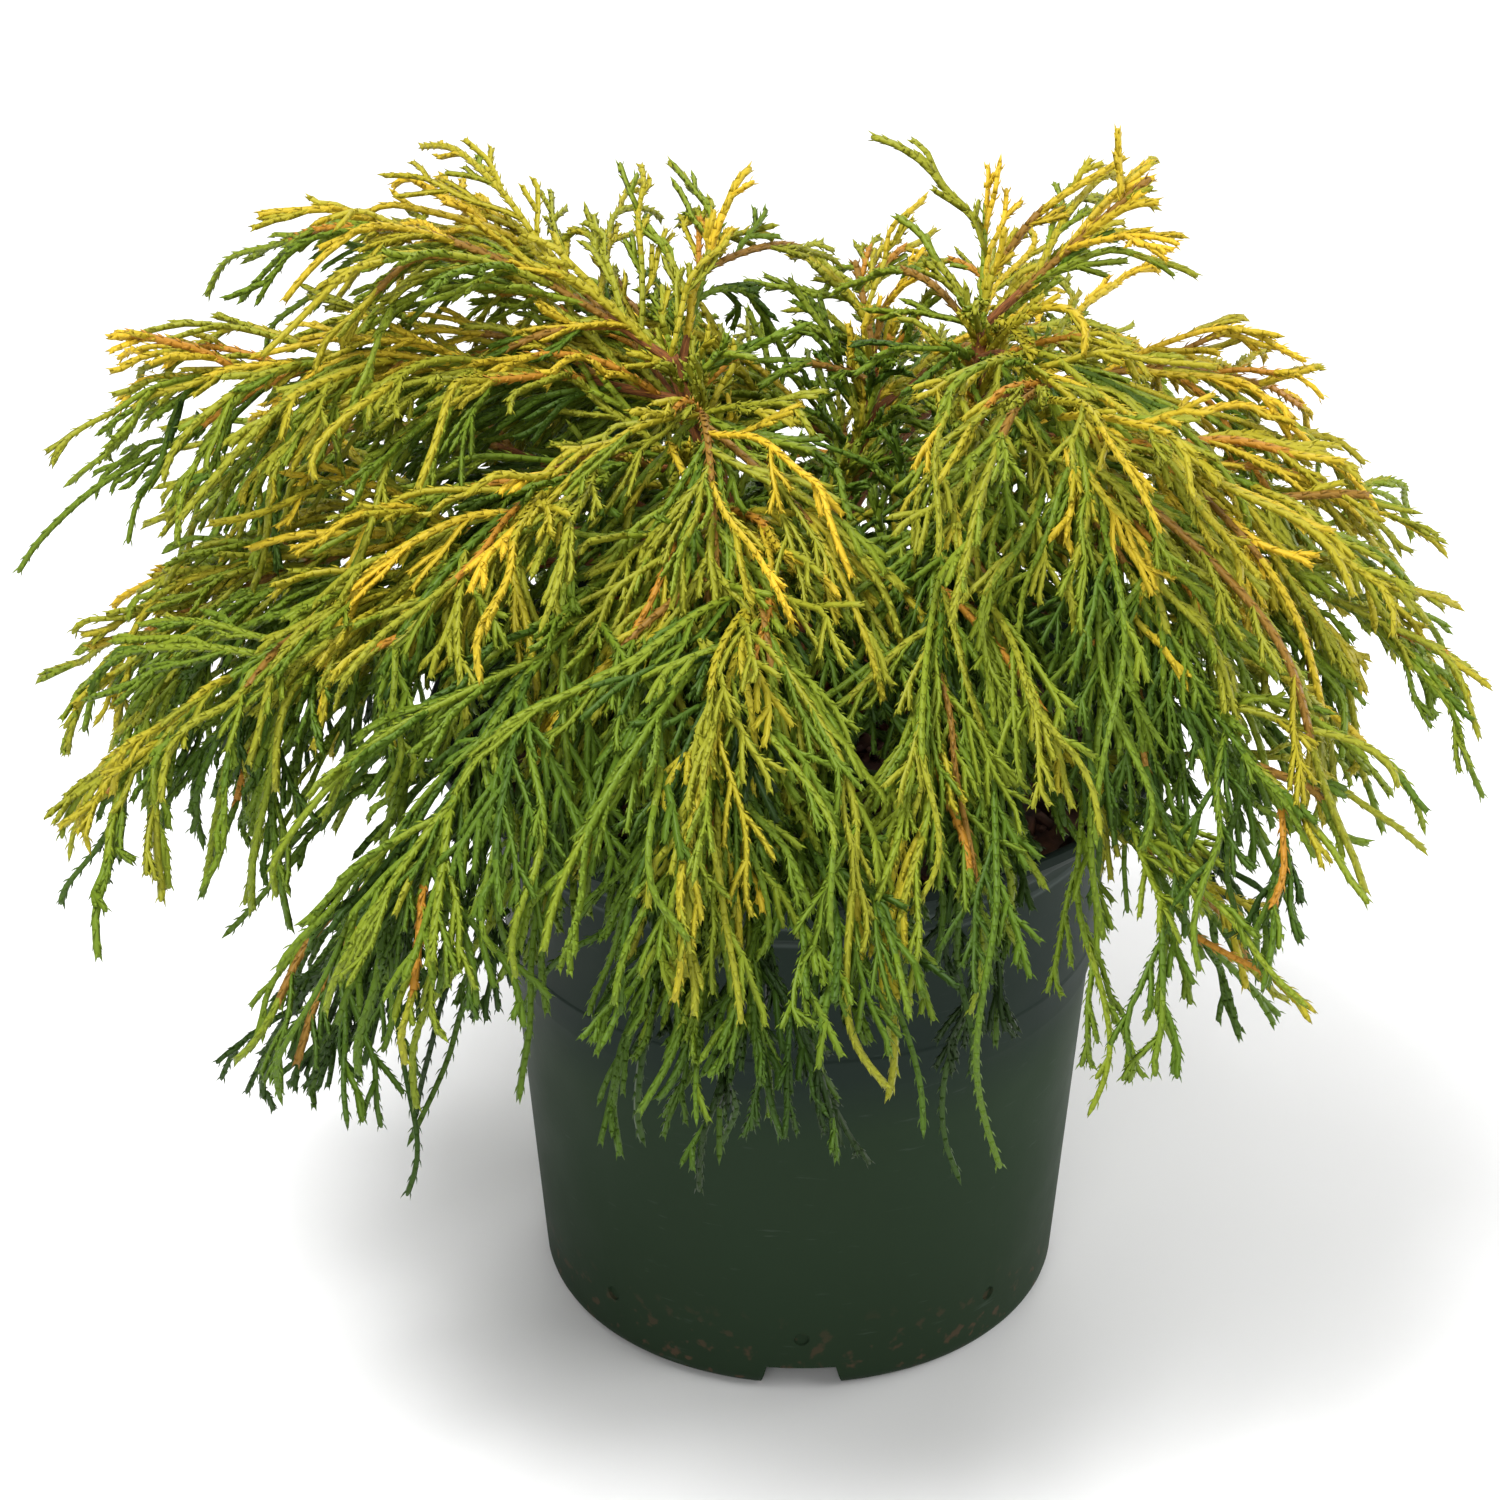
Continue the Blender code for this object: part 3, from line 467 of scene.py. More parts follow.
def arch(start, heading, length, sag, sway=0.0, steps=ARCH_STEPS):
    """Points of a shoot that leaves start along heading, bows down more and more, and sways to one side."""
    way = heading.normalized()
    side = way.cross(UP)
    point = start.copy()
    points = [point.copy()]
    step = length / steps
    for index in range(steps):
        softness = ROOT_SOFTNESS + (TIP_SOFTNESS - ROOT_SOFTNESS) * index / steps
        way = (way - UP * (sag * softness * step) + side * (sway * step)).normalized()
        point = point + way * step
        points.append(point.copy())
    return points


def along(points, share):
    """The point and the direction at a share of an evenly stepped path."""
    place = min(max(share, 0.0), 1.0) * (len(points) - 1)
    index = min(int(place), len(points) - 2)
    step = points[index + 1] - points[index]
    return points[index] + step * (place - index), step.normalized()


def path_length(points):
    return sum((after - before).length for before, after in zip(points, points[1:]))


def bark_tube(points, radii, seed):
    """Corners, faces and lengthways coordinates of one limb, with the bark's long ridges and furrows."""
    count = max(4, int(path_length(points) / BARK_PITCH))
    corners = []
    run = []
    side = (points[1] - points[0]).orthogonal().normalized()
    for ring in range(count + 1):
        share = ring / count
        centre, way = along(points, share)
        side = (side - way * side.dot(way)).normalized()
        over = way.cross(side)
        place = share * (len(radii) - 1)
        low = min(int(place), len(radii) - 2)
        radius = radii[low] + (radii[low + 1] - radii[low]) * (place - low)
        for corner in range(BARK_SIDES):
            angle = 2.0 * math.pi * corner / BARK_SIDES
            outward = side * math.cos(angle) + over * math.sin(angle)
            grain = Vector((math.cos(angle) * 1.6, math.sin(angle) * 1.6, share * count * 0.10 + seed * 7.3))
            relief = 1.0 + 0.20 * noise.noise(grain) + 0.10 * noise.noise(grain * 3.1)
            corners.append((centre + outward * radius * relief)[:])
            run.append((corner / BARK_SIDES, share * count * BARK_PITCH))
    faces = []
    for ring in range(count):
        for corner in range(BARK_SIDES):
            after = (corner + 1) % BARK_SIDES
            low, high = ring * BARK_SIDES, (ring + 1) * BARK_SIDES
            faces.append((low + corner, low + after, high + after, high + corner))
    for ring, order in ((0, -1), (count, 1)):
        for corner in range(1, BARK_SIDES - 2, 2):
            base = ring * BARK_SIDES
            faces.append([base + corner + step for step in (0, 1, 2)][::order] + [base])
    return np.array(corners), np.array(faces), np.array(run)


limbs = {}
limb_radii = {}
foot = Vector((TRUNK_LEAN / 3.0, 0.0, SOIL_TOP + GAP))
trunk_line = []
trunk_radii = []
for ring in range(TRUNK_RINGS + 1):
    share = ring / TRUNK_RINGS
    trunk_line.append(foot + Vector((-TRUNK_LEAN * share**2, 0.0, TRUNK_HEIGHT * share)))
    flare = (TRUNK_FOOT_RADIUS - TRUNK_RADIUS) * math.exp(-TRUNK_HEIGHT * share / TRUNK_FLARE)
    trunk_radii.append(TRUNK_RADIUS + flare)
limbs["trunk"] = trunk_line
limb_radii["trunk"] = trunk_radii
for name, (seat, middle, tip) in LEADERS.items():
    start, way = along(limbs["trunk"], seat)
    middle, tip = Vector(middle), Vector(tip)
    if seat == 1.0:
        start = start + way * GAP
        middle = start + way * (middle - start).length
    shares = [step / LEADER_STEPS for step in range(LEADER_STEPS + 1)]
    limbs[name] = [start * (1 - t) ** 2 + middle * (2 * t * (1 - t)) + tip * t**2 for t in shares]
    limb_radii[name] = LEADER_RADII
boughs = {}
for index in range(LOW_COUNT):
    turn = index % 2
    azimuth = LOW_FIRST + 360.0 * index / LOW_COUNT
    short = max(0.0, math.cos(math.radians(azimuth - LOW_SHORT_SIDE)))
    rise = LOW_RISES[turn] + LOW_STEEPER * short
    shoot = LOW_SHOOTS[turn] - LOW_SHORTER * short
    boughs[f"low_{index + 1}"] = ("trunk", LOW_SEATS[turn], azimuth, rise, LOW_LENGTHS[turn], shoot, LOW_SAG)
for index, bough in enumerate(MIDDLE_BOUGHS):
    boughs[f"middle_{index + 1}"] = bough
for name, (carrier, seat, azimuth, rise, length, _, sag) in boughs.items():
    start, _ = along(limbs[carrier], seat)
    limbs[f"bough_{name}"] = arch(start, direction(azimuth, rise), length, sag * 0.5)
    limb_radii[f"bough_{name}"] = BOUGH_RADII

bark, nodes, links, shader = new_material("bark_red_brown", (0.155, 0.06, 0.032), 0.85)
fibre_place = nodes.new("ShaderNodeUVMap")
fibre_place.uv_map = "along"
fibres = noise_node(nodes, links, fibre_place.outputs["UV"], 14.0, 5.0, stretch=(1.4, 26.0, 1.0))
fibre_color = ramp_node(
    nodes, links, fibres,
    [(0.25, (0.036, 0.012, 0.003)), (0.45, (0.165, 0.052, 0.010)), (0.62, (0.285, 0.100, 0.018)), (0.8, (0.36, 0.17, 0.05))],
)
links.new(fibre_color, shader.inputs["Base Color"])
bump_node(nodes, links, shader, fibres, 0.6, 0.0005)


def add_bark(name, nodes_replaced):
    """The joined bark of some limbs, which stands for their nodes."""
    corners, faces, runs = [], [], []
    total = 0
    for index, limb in enumerate(nodes_replaced):
        tube_corners, tube_faces, run = bark_tube(limbs[limb], limb_radii[limb], index + len(name))
        corners.append(tube_corners)
        faces.append(tube_faces + total)
        runs.append(run)
        total += len(tube_corners)
    piece = add_mesh(name, np.concatenate(corners), np.concatenate(faces), bark)
    layer = piece.data.uv_layers.new(name="along")
    order = np.empty(len(piece.data.loops), dtype=np.int32)
    piece.data.loops.foreach_get("vertex_index", order)
    layer.data.foreach_set("uv", np.concatenate(runs)[order].astype(np.float32).ravel())
    piece.data.shade_smooth()
    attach(piece, "root")
    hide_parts(*nodes_replaced)
    return piece


add_bark("trunk_bark", ["trunk"])
add_bark("leader_bark", list(LEADERS))
add_bark("bough_bark", [f"bough_{name}" for name in boughs])


# Foliage: shoots that go on from the boughs and the leaders, and threads that hang from them. A
# thread is a thin stem under overlapping pairs of pointed scale leaves, each pair across the last.
CROWN_SPRAYS = (
    ("top_1", "leader_left", 1.00, 172.0, 36.0, 0.080, 7.0),
    ("top_2", "leader_left", 0.93, 76.0, 42.0, 0.048, 12.0),
    ("top_3", "leader_left", 0.86, 186.0, 17.0, 0.130, 4.0),
    ("top_4", "leader_left", 0.78, 274.0, 40.0, 0.104, 24.0),
    ("top_5", "leader_left", 0.72, 140.0, 46.0, 0.090, 11.0),
    ("top_6", "leader_left", 0.60, 228.0, 32.0, 0.128, 12.5),
    ("top_7", "leader_right", 1.00, 4.0, 44.0, 0.058, 0.5),
    ("top_8", "leader_right", 0.92, 286.0, 34.0, 0.098, 21.0),
    ("top_9", "leader_right", 0.82, 16.0, 13.0, 0.078, 9.0),
    ("top_10", "leader_right", 0.74, 338.0, 14.0, 0.096, 9.0),
    ("top_11", "leader_right", 0.88, 86.0, 50.0, 0.046, 6.0),
    ("top_12", "leader_back", 1.00, 100.0, 38.0, 0.036, 8.0),
    ("top_13", "leader_back", 0.86, 46.0, 20.0, 0.092, 11.0),
    ("top_14", "leader_back", 0.76, 162.0, 30.0, 0.100, 12.0),
    ("front_1", "leader_left", 0.46, 262.0, 38.0, 0.116, 16.0),
    ("front_2", "leader_right", 0.54, 266.0, 34.0, 0.128, 16.0),
    ("front_3", "leader_right", 0.66, 296.0, 44.0, 0.114, 18.0),
)
LEADER_LAST_SEAT = 0.985
SEED = 411
SPRAY_PITCH = 0.0145
SPRAY_LENGTH = 0.064
SPRAY_SHOOT_SHARE = 0.95
SPRAY_SPAN = (0.10, 0.98)
SPRAY_SPREAD = (28.0, 52.0)
SPRAY_LIFT = (-34.0, 34.0)
SPRAY_SAG = (15.0, 26.0)
SPRAY_SWAY = 4.0
MORE_PITCH = 0.0094
MORE_SPREAD = (10.0, 54.0)
MORE_LIFT = (-80.0, 80.0)
MORE_SAG = (12.0, 40.0)
MORE_SWAY = 12.0
FULLNESS = {
    "low_1": 1.6, "low_2": 0.6, "low_3": 0.35, "low_4": 0.35, "low_5": 0.8, "low_6": 0.8, "low_7": 0.8, "low_8": 0.4,
    "middle_1": 1.8, "middle_2": 1.0, "middle_3": 1.2, "middle_5": 1.2, "middle_6": 1.2, "middle_7": 1.3,
    "middle_8": 2.6, "middle_9": 1.8, "middle_10": 1.2, "front_1": 1.6, "front_2": 2.0, "front_3": 1.6,
    "top_1": 1.6, "top_2": 1.6, "top_3": 2.0, "top_4": 1.5, "top_5": 2.0, "top_6": 1.7, "top_8": 1.6, "top_9": 1.5,
    "top_11": 0.8, "top_12": 3.0, "top_13": 1.6, "top_14": 3.0,
}
REACH = {
    "low_1": 1.35, "low_2": 1.1, "low_8": 1.35, "middle_1": 1.25, "middle_2": 1.15, "middle_3": 1.15,
    "middle_8": 1.25, "middle_10": 1.2, "front_1": 1.25, "front_2": 1.45, "front_3": 1.35, "top_1": 1.1,
    "top_3": 1.15, "top_11": 0.75, "top_12": 1.3, "top_14": 1.15,
}
DROOP = {
    "low_1": 1.4, "low_2": 1.2, "low_8": 1.3, "middle_1": 1.5, "middle_10": 1.3, "front_1": 1.5, "front_2": 1.5,
    "front_3": 1.5, "top_2": 1.4,
}
FILL_PITCH = {"leader_back": 0.0027, "leader_right": 0.0036}
FILL_LENGTH = (0.022, 0.046)
CLOTHING_PITCH = 0.0026
CLOTHING_LIGHT = 2.2
CLOTHING_SPAN = (0.45, 1.0)
CLOTHING_SPREAD = (12.0, 46.0)
CLOTHING_LENGTH = (0.010, 0.028)
WHIPS = {
    "low_1": 0.55, "low_7": 0.6, "low_8": 0.75, "middle_1": 0.5, "middle_9": 0.35, "middle_10": 0.65,
    "front_1": 0.45, "front_2": 0.5, "front_3": 0.4, "low_2": 0.35,
}
WHIP_SHARE = 0.15
WHIP_RISE = 0.40
SIDE_PITCH = (0.0068, 0.0118)
SIDE_LONGEST = 0.034
TIP_BARE = 0.80

# Two ways a spray is built: a dense flat fan, and a tail of long side threads that hang beside it.
# Each has the spread of its side threads, their length as a share of it, their sag, and their fingers'.
FAN = ((24.0, 46.0), 0.36, (12.0, 46.0), 0.0072, (24.0, 46.0))
TAIL = ((16.0, 36.0), 0.52, (14.0, 46.0), 0.0112, (20.0, 40.0))
TAIL_SHARE = 0.5
SIDE_BEND = (0.3, 1.5)
WANDER = 0.16
WANDER_TURNS = 2.4
CROWN_LOWEST = 0.050
CROWN_RADIUS = 0.214
CROWN_SPARE = 0.004
SKIRT_START = 0.110
SKIRT_RISE = 1.1
SKIRT_LIFT = 0.040
SKIRT_HIGH_SIDE = -22.0
SHOULDERS = ((1.0, 0.168, 0.200, 0.80), (-1.0, 0.200, 0.242, 1.0))

# A thread is a smooth core with keeled scale leaves that stand off it in pairs: the pitch of the pairs, the
# core's corners and radius, the leaves' radius and length, and how far each pair is turned from the last.
MAIN_THREAD = (0.0021, 4, 0.00096, 0.00092, 0.0025, 90.0)
FINE_THREAD = (0.0024, 3, 0.00088, 0.00078, 0.0019, 50.0)

# A leaf's corners are two at its base, one on its keel and its point: out and to the side, in leaf radii,
# and forward, in leaf lengths.
LEAF_CORNERS = np.array([(0.50, 0.80, -0.08), (0.50, -0.80, -0.08), (1.32, 0.0, 0.34), (1.60, 0.0, 1.0)])
LEAF_FACES = np.array([(0, 2, 1), (0, 3, 2), (1, 2, 3), (0, 1, 3)])
THREAD_TAPER = 0.02
BLUNT_TIP = 0.42
MOST_TRIANGLES = 180000

# The leaves' colours, from those in the plant's own shade to those in full sun, and two browns. The plant
# is truly greener in its shade and golden in sun, but the darkest greens are also painted shade.
TINTS = {
    "deep_green": (0.014, 0.032, 0.004),
    "dark_green": (0.029, 0.064, 0.006),
    "moss_green": (0.052, 0.102, 0.008),
    "mid_green": (0.084, 0.148, 0.010),
    "fresh_green": (0.130, 0.196, 0.012),
    "lime": (0.190, 0.244, 0.015),
    "olive": (0.270, 0.276, 0.018),
    "yellow_green": (0.370, 0.318, 0.018),
    "old_gold": (0.490, 0.362, 0.020),
    "gold": (0.630, 0.428, 0.024),
    "amber": (0.430, 0.200, 0.020),
    "bronze": (0.250, 0.132, 0.020),
}
SHADES = list(TINTS)[:10]
# Sprays that leave over their shoot take lighter tints and those under it darker ones: partly painted light and shade.
UPPER_LIGHT = 1.6
SUN_SIDE = (0.5, 0.9)
FRESH_HEIGHT = 0.165
FRESH_DEPTH = 0.06
FRESH_LEVEL = 3.3
FRESH_MOST = 0.65
threads = {tint: [] for tint in TINTS}
twigs = []


def skirt_height(point):
    """How low the foliage hangs at a place: low beside the pot, higher far out, and highest at the front right."""
    side = math.atan2(point.y, point.x) - math.radians(SKIRT_HIGH_SIDE)
    start = SKIRT_START - SKIRT_LIFT * max(0.0, math.cos(side)) ** 2
    return CROWN_LOWEST + SKIRT_RISE * max(0.0, math.hypot(point.x, point.y) - start)


def in_the_open(point, spare=0.0, margin=0.002):
    """Whether a point is clear of the pot and the soil, inside the crown's bounds and above its skirt."""
    reach = math.hypot(point.x, point.y)
    if reach > CROWN_RADIUS or point.z < skirt_height(point) + spare:
        return False
    for side, most, start, slope in SHOULDERS:
        if side * point.x > most - slope * max(0.0, point.z - start):
            return False
    for value, low, high in zip(point, *cad_box):
        if value < low - CROWN_SPARE or value > high + CROWN_SPARE:
            return False
    if point.z > POT_HEIGHT + margin or reach > LIP_RADIUS + margin:
        return True
    if point.z < FLARE_START - margin:
        return reach > wall_radius(point.z) + margin
    inner = wall_radius(FLARE_START) - WALL_THICKNESS - LEDGE_DEPTH
    return reach < inner - margin and point.z > SOIL_TOP + margin


def open_part(points, spare):
    """The path up to where it would meet the pot, or leave the crown."""
    kept = []
    for point in points:
        if not in_the_open(point, spare):
            break
        kept.append(point)
    return kept


def add_thread(tint, points, side, stout, girth=1.0, spare=0.0):
    """One thread of scale leaves along a path, as far as the path has room for it."""
    points = open_part(points, spare)
    if len(points) < 3:
        return
    kind = MAIN_THREAD if stout else FINE_THREAD
    count = round(path_length(points) / kind[0])
    if count >= 2:
        places = np.array([along(points, step / count)[0][:] for step in range(count + 1)])
        threads[tint].append((places, np.array(side[:]), kind, girth))


def shade_of(level):
    return SHADES[min(max(int(round(level)), 0), len(SHADES) - 1)]


def freshness(point):
    return min(max((FRESH_HEIGHT - point.z) / FRESH_DEPTH, 0.0), 1.0)


def sun_level(point, draws):
    """Where a spray's colour lies between deep shade and full sun: high, far out and to the back right is
    sunny, and what hangs low is a fresh green. This is partly the plant's own colour and partly painted
    shade: the darker greens low and deep inside the crown stand in for the shade that falls there."""
    height = (point.z - 0.09) / 0.20
    reach = math.hypot(point.x, point.y) / 0.20
    facing = (SUN_SIDE[0] * point.x + SUN_SIDE[1] * point.y) / 0.20
    patch = 1.5 * noise.noise(point * 24.0)
    sunny = 1.5 if draws.random() < 0.10 else 0.0
    level = -1.3 + 5.4 * height + 3.6 * reach + facing + patch + sunny + draws.gauss(0.0, 0.6)
    return level + (FRESH_LEVEL - level) * FRESH_MOST * freshness(point)


def turn_out(way, side, spread, roll):
    """A heading that leaves a thread's own by a spread, towards a side that is rolled about the thread."""
    outward = (side * math.cos(roll) + way.cross(side) * math.sin(roll)).normalized()
    return (way * math.cos(spread) + outward * math.sin(spread)).normalized()


def plane_side(way, side):
    return (side - way * side.dot(way)).normalized()


def side_path(start, out, toward, length, sag, bend, steps=8):
    """Points of a side thread that leaves along out, turns towards its own thread's way, and bows down."""
    way = out.copy()
    point = start.copy()
    points = [point.copy()]
    step = length / steps
    for index in range(steps):
        way = (way + toward * (bend / steps) - UP * (sag * step)).normalized()
        point = point + way * step
        points.append(point.copy())
    return points


def wander(points, length, draws):
    """A path that strays slowly to this side and that, more and more along it."""
    seed = Vector([draws.uniform(0.0, 50.0) for _ in range(3)])
    first = noise.noise_vector(seed)
    moved = []
    for index, point in enumerate(points):
        share = index / (len(points) - 1)
        stray = noise.noise_vector(seed + UP * (WANDER_TURNS * share)) - first
        moved.append(point + stray * (WANDER * length * share))
    return moved


def grow_spray(line, length, level, draws, whip_share=WHIP_SHARE):
    """A thread with its side threads, which leave it to the left and right in turn and fork at their ends."""
    heading = along(line, 0.0)[1]
    level_side = heading.cross(UP).normalized()
    roll = math.radians(draws.uniform(-35.0, 35.0))
    side0 = (level_side * math.cos(roll) + heading.cross(level_side) * math.sin(roll)).normalized()
    girth = draws.uniform(0.92, 1.10)
    spare = min(draws.expovariate(70.0) - 0.006, 0.05)
    whip = draws.random() < whip_share and heading.z < WHIP_RISE
    if whip:
        length *= draws.uniform(1.2, 1.65)
        line = arch(line[0], heading, length, draws.uniform(14.0, 24.0), draws.uniform(-SPRAY_SWAY, SPRAY_SWAY))
    line = wander(line, length, draws)
    tip_level = level + draws.uniform(0.2, 1.5)
    main_tint = shade_of(level + draws.uniform(-0.2, 1.6))
    if draws.random() < 0.05 + 0.04 * max(0.0, level - 2.0):
        main_tint = "amber" if draws.random() < 0.5 else "bronze"
    break_place = int(len(line) * draws.uniform(0.4, 0.65))
    add_thread(main_tint, line[: break_place + 1], side0, True, girth, spare)
    if in_the_open(line[break_place], spare):
        add_thread(shade_of(tip_level), line[break_place:], side0, True, girth * 0.94, spare)
    side_spread, side_share, side_sag, finger_pitch, finger_spread = TAIL if draws.random() < TAIL_SHARE else FAN
    last = 0.60 if whip else TIP_BARE + draws.uniform(-0.1, 0.1)
    pitch = draws.uniform(*SIDE_PITCH) * (1.7 if draws.random() < 0.22 else 1.0)
    count = max(2, int(length * last / pitch))
    for index in range(count):
        share = 0.05 + (last - 0.05) * (index + draws.uniform(0.2, 0.8)) / count
        point, way = along(line, share)
        side = plane_side(way, side0) * (1.0 if index % 2 else -1.0)
        spread = math.radians(draws.uniform(*side_spread))
        out = turn_out(way, side, spread, math.radians(draws.uniform(-30.0, 30.0)))
        side_length = min(SIDE_LONGEST, 0.003 + side_share * length * (1.0 - share) ** 0.9) * draws.uniform(0.45, 1.3)
        path = side_path(point, out, way, side_length, draws.uniform(*side_sag), draws.uniform(*SIDE_BEND))
        path = wander(path, side_length, draws)
        tint = shade_of(level + (tip_level - level) * share + draws.gauss(0.0, 0.7))
        add_thread(tint, path, side, False, girth, spare)
        fingers = int(side_length / finger_pitch)
        for finger in range(fingers):
            finger_share = 0.20 + 0.60 * (finger + draws.random()) / fingers
            start, finger_way = along(path, finger_share)
            finger_side = plane_side(finger_way, side) * (1.0 if finger % 2 else -1.0)
            finger_out = turn_out(finger_way, finger_side, math.radians(draws.uniform(*finger_spread)), 0.0)
            finger_length = (0.0035 + 0.40 * side_length * (1.0 - finger_share)) * draws.uniform(0.8, 1.2)
            finger_path = side_path(start, finger_out, finger_way, finger_length, draws.uniform(*side_sag), 0.4, steps=4)
            add_thread(tint, finger_path, side, False, girth * 0.94, spare)


def shoot_lines():
    """Every mass's name, seed and centre line, in the order in which the source grows them."""
    index = 0
    for name, (_, _, _, _, _, shoot, sag) in boughs.items():
        end, way = along(limbs[f"bough_{name}"], 1.0)
        yield name, SEED + index, arch(end + way * GAP, way, shoot, sag), shoot
        index += 1
    for name, carrier, seat, azimuth, rise, shoot, sag in CROWN_SPRAYS:
        start, _ = along(limbs[carrier], min(seat, LEADER_LAST_SEAT))
        yield name, SEED + index, arch(start, direction(azimuth, rise), shoot, sag), shoot
        index += 1


def leave(line, share, side_sign, spread, lift):
    """Where a spray leaves a shoot, and its heading."""
    point, way = along(line, share)
    across = way.cross(UP).normalized() * side_sign
    over = across.cross(way) * side_sign
    outward = across * math.cos(lift) + over * math.sin(lift)
    return point, way * math.cos(spread) + outward * math.sin(spread)


def spray_fullness(share):
    return 0.66 + 0.5 * math.sin(math.pi * min(share + 0.12, 1.0))


def full_length(shoot):
    return min(SPRAY_LENGTH, SPRAY_SHOOT_SHARE * shoot)


def main_sprays(line, shoot, draws):
    """The sprays that the source has along a shoot, on its two sides in turn."""
    count = round(shoot / SPRAY_PITCH)
    for index in range(count):
        share = SPRAY_SPAN[0] + (SPRAY_SPAN[1] - SPRAY_SPAN[0]) * (index + draws.random()) / count
        sign = 1.0 if index % 2 else -1.0
        spread = math.radians(draws.uniform(*SPRAY_SPREAD))
        lift = math.radians(draws.uniform(*SPRAY_LIFT))
        point, heading = leave(line, share, sign, spread, lift)
        length = full_length(shoot) * spray_fullness(share) * draws.uniform(0.8, 1.2)
        sag = draws.uniform(*SPRAY_SAG)
        sway = draws.uniform(-SPRAY_SWAY, SPRAY_SWAY)
        yield arch(point, heading, length, sag, sway), length, math.sin(lift)


def more_sprays(name, line, shoot, draws):
    """The finer sprays between those, over and under the shoot as well, and more of them on the fuller masses."""
    count = round(shoot * FULLNESS.get(name, 1.0) / MORE_PITCH)
    for index in range(count):
        share = 0.04 + 0.95 * (index + draws.random()) / count
        sign = 1.0 if index % 2 else -1.0
        droop = DROOP.get(name, 1.0)
        spread = math.radians(draws.uniform(*MORE_SPREAD)) / droop
        lift = math.radians(draws.uniform(*MORE_LIFT))
        point, heading = leave(line, share, sign, spread, lift)
        length = full_length(shoot) * REACH.get(name, 1.0) * spray_fullness(share) * draws.uniform(0.55, 1.05)
        sag = draws.uniform(*MORE_SAG) * droop
        yield arch(point, heading, length, sag, draws.uniform(-MORE_SWAY, MORE_SWAY)), length, math.sin(lift)


def fill_sprays(limb, pitch, span, spreads, lengths, draws):
    """Short sprays all round a bare limb, which hide most of it."""
    count = round(path_length(limb) * (span[1] - span[0]) / pitch)
    for index in range(count):
        share = span[0] + (span[1] - span[0]) * (index + draws.random()) / count
        spread = math.radians(draws.uniform(*spreads))
        lift = math.radians(draws.uniform(-60.0, 120.0))
        point, heading = leave(limb, share, 1.0 if index % 2 else -1.0, spread, lift)
        length = draws.uniform(*lengths)
        yield arch(point, heading, length, draws.uniform(16.0, 34.0)), length


for name, seed, line, shoot in shoot_lines():
    draws = random.Random(seed)
    source_sprays = list(main_sprays(line, shoot, draws))
    draws = random.Random(seed * 13 + 5)
    side0 = along(line, 0.0)[1].cross(UP).normalized()
    split = int(len(line) * 0.20)
    twigs.append((line[: split + 2], 0.0012, 0.0010))
    level = sun_level(along(line, 0.6)[0], draws)
    add_thread("bronze" if draws.random() < 0.4 else shade_of(level), line[split:], side0, True, 1.12)
    mass_level = draws.gauss(0.0, 0.5)
    for spray_line, length, above in source_sprays + list(more_sprays(name, line, shoot, draws)):
        middle = along(spray_line, 0.6)[0]
        # The tint is lighter over the shoot and darker under it, partly painted light and shade.
        level = mass_level + UPPER_LIGHT * above * (1.0 - 0.6 * freshness(middle)) + sun_level(middle, draws)
        grow_spray(spray_line, length, level, draws, WHIPS.get(name, WHIP_SHARE))
for index, limb in enumerate(name for name in limbs if name != "trunk"):
    draws = random.Random(1000 + index)
    line = limbs[limb]
    for spray_line, length in fill_sprays(
        line, FILL_PITCH.get(limb, 0.0055), (0.22, 1.0), (35.0, 75.0), FILL_LENGTH, draws
    ):
        grow_spray(spray_line, length, sun_level(along(spray_line, 0.6)[0], draws) - 0.1, draws)
    if limb in LEADERS:
        for spray_line, length in fill_sprays(
            line, CLOTHING_PITCH, CLOTHING_SPAN, CLOTHING_SPREAD, CLOTHING_LENGTH, draws
        ):
            level = sun_level(along(spray_line, 0.6)[0], draws) + CLOTHING_LIGHT
            grow_spray(spray_line, length, level, draws)


def tube_faces(rings, sides):
    """The triangles of a closed tube of some rings, with a fan over each end."""
    ring = np.arange(sides)
    after = (ring + 1) % sides
    band = np.stack([ring, after, after + sides, ring, after + sides, ring + sides], axis=1).reshape(-1, 3)
    bands = band[None] + sides * np.arange(rings - 1)[:, None, None]
    fan = np.array([(0, step, step + 1) for step in range(1, sides - 1)])
    return np.concatenate([bands.reshape(-1, 3), fan[:, ::-1], fan + sides * (rings - 1)])


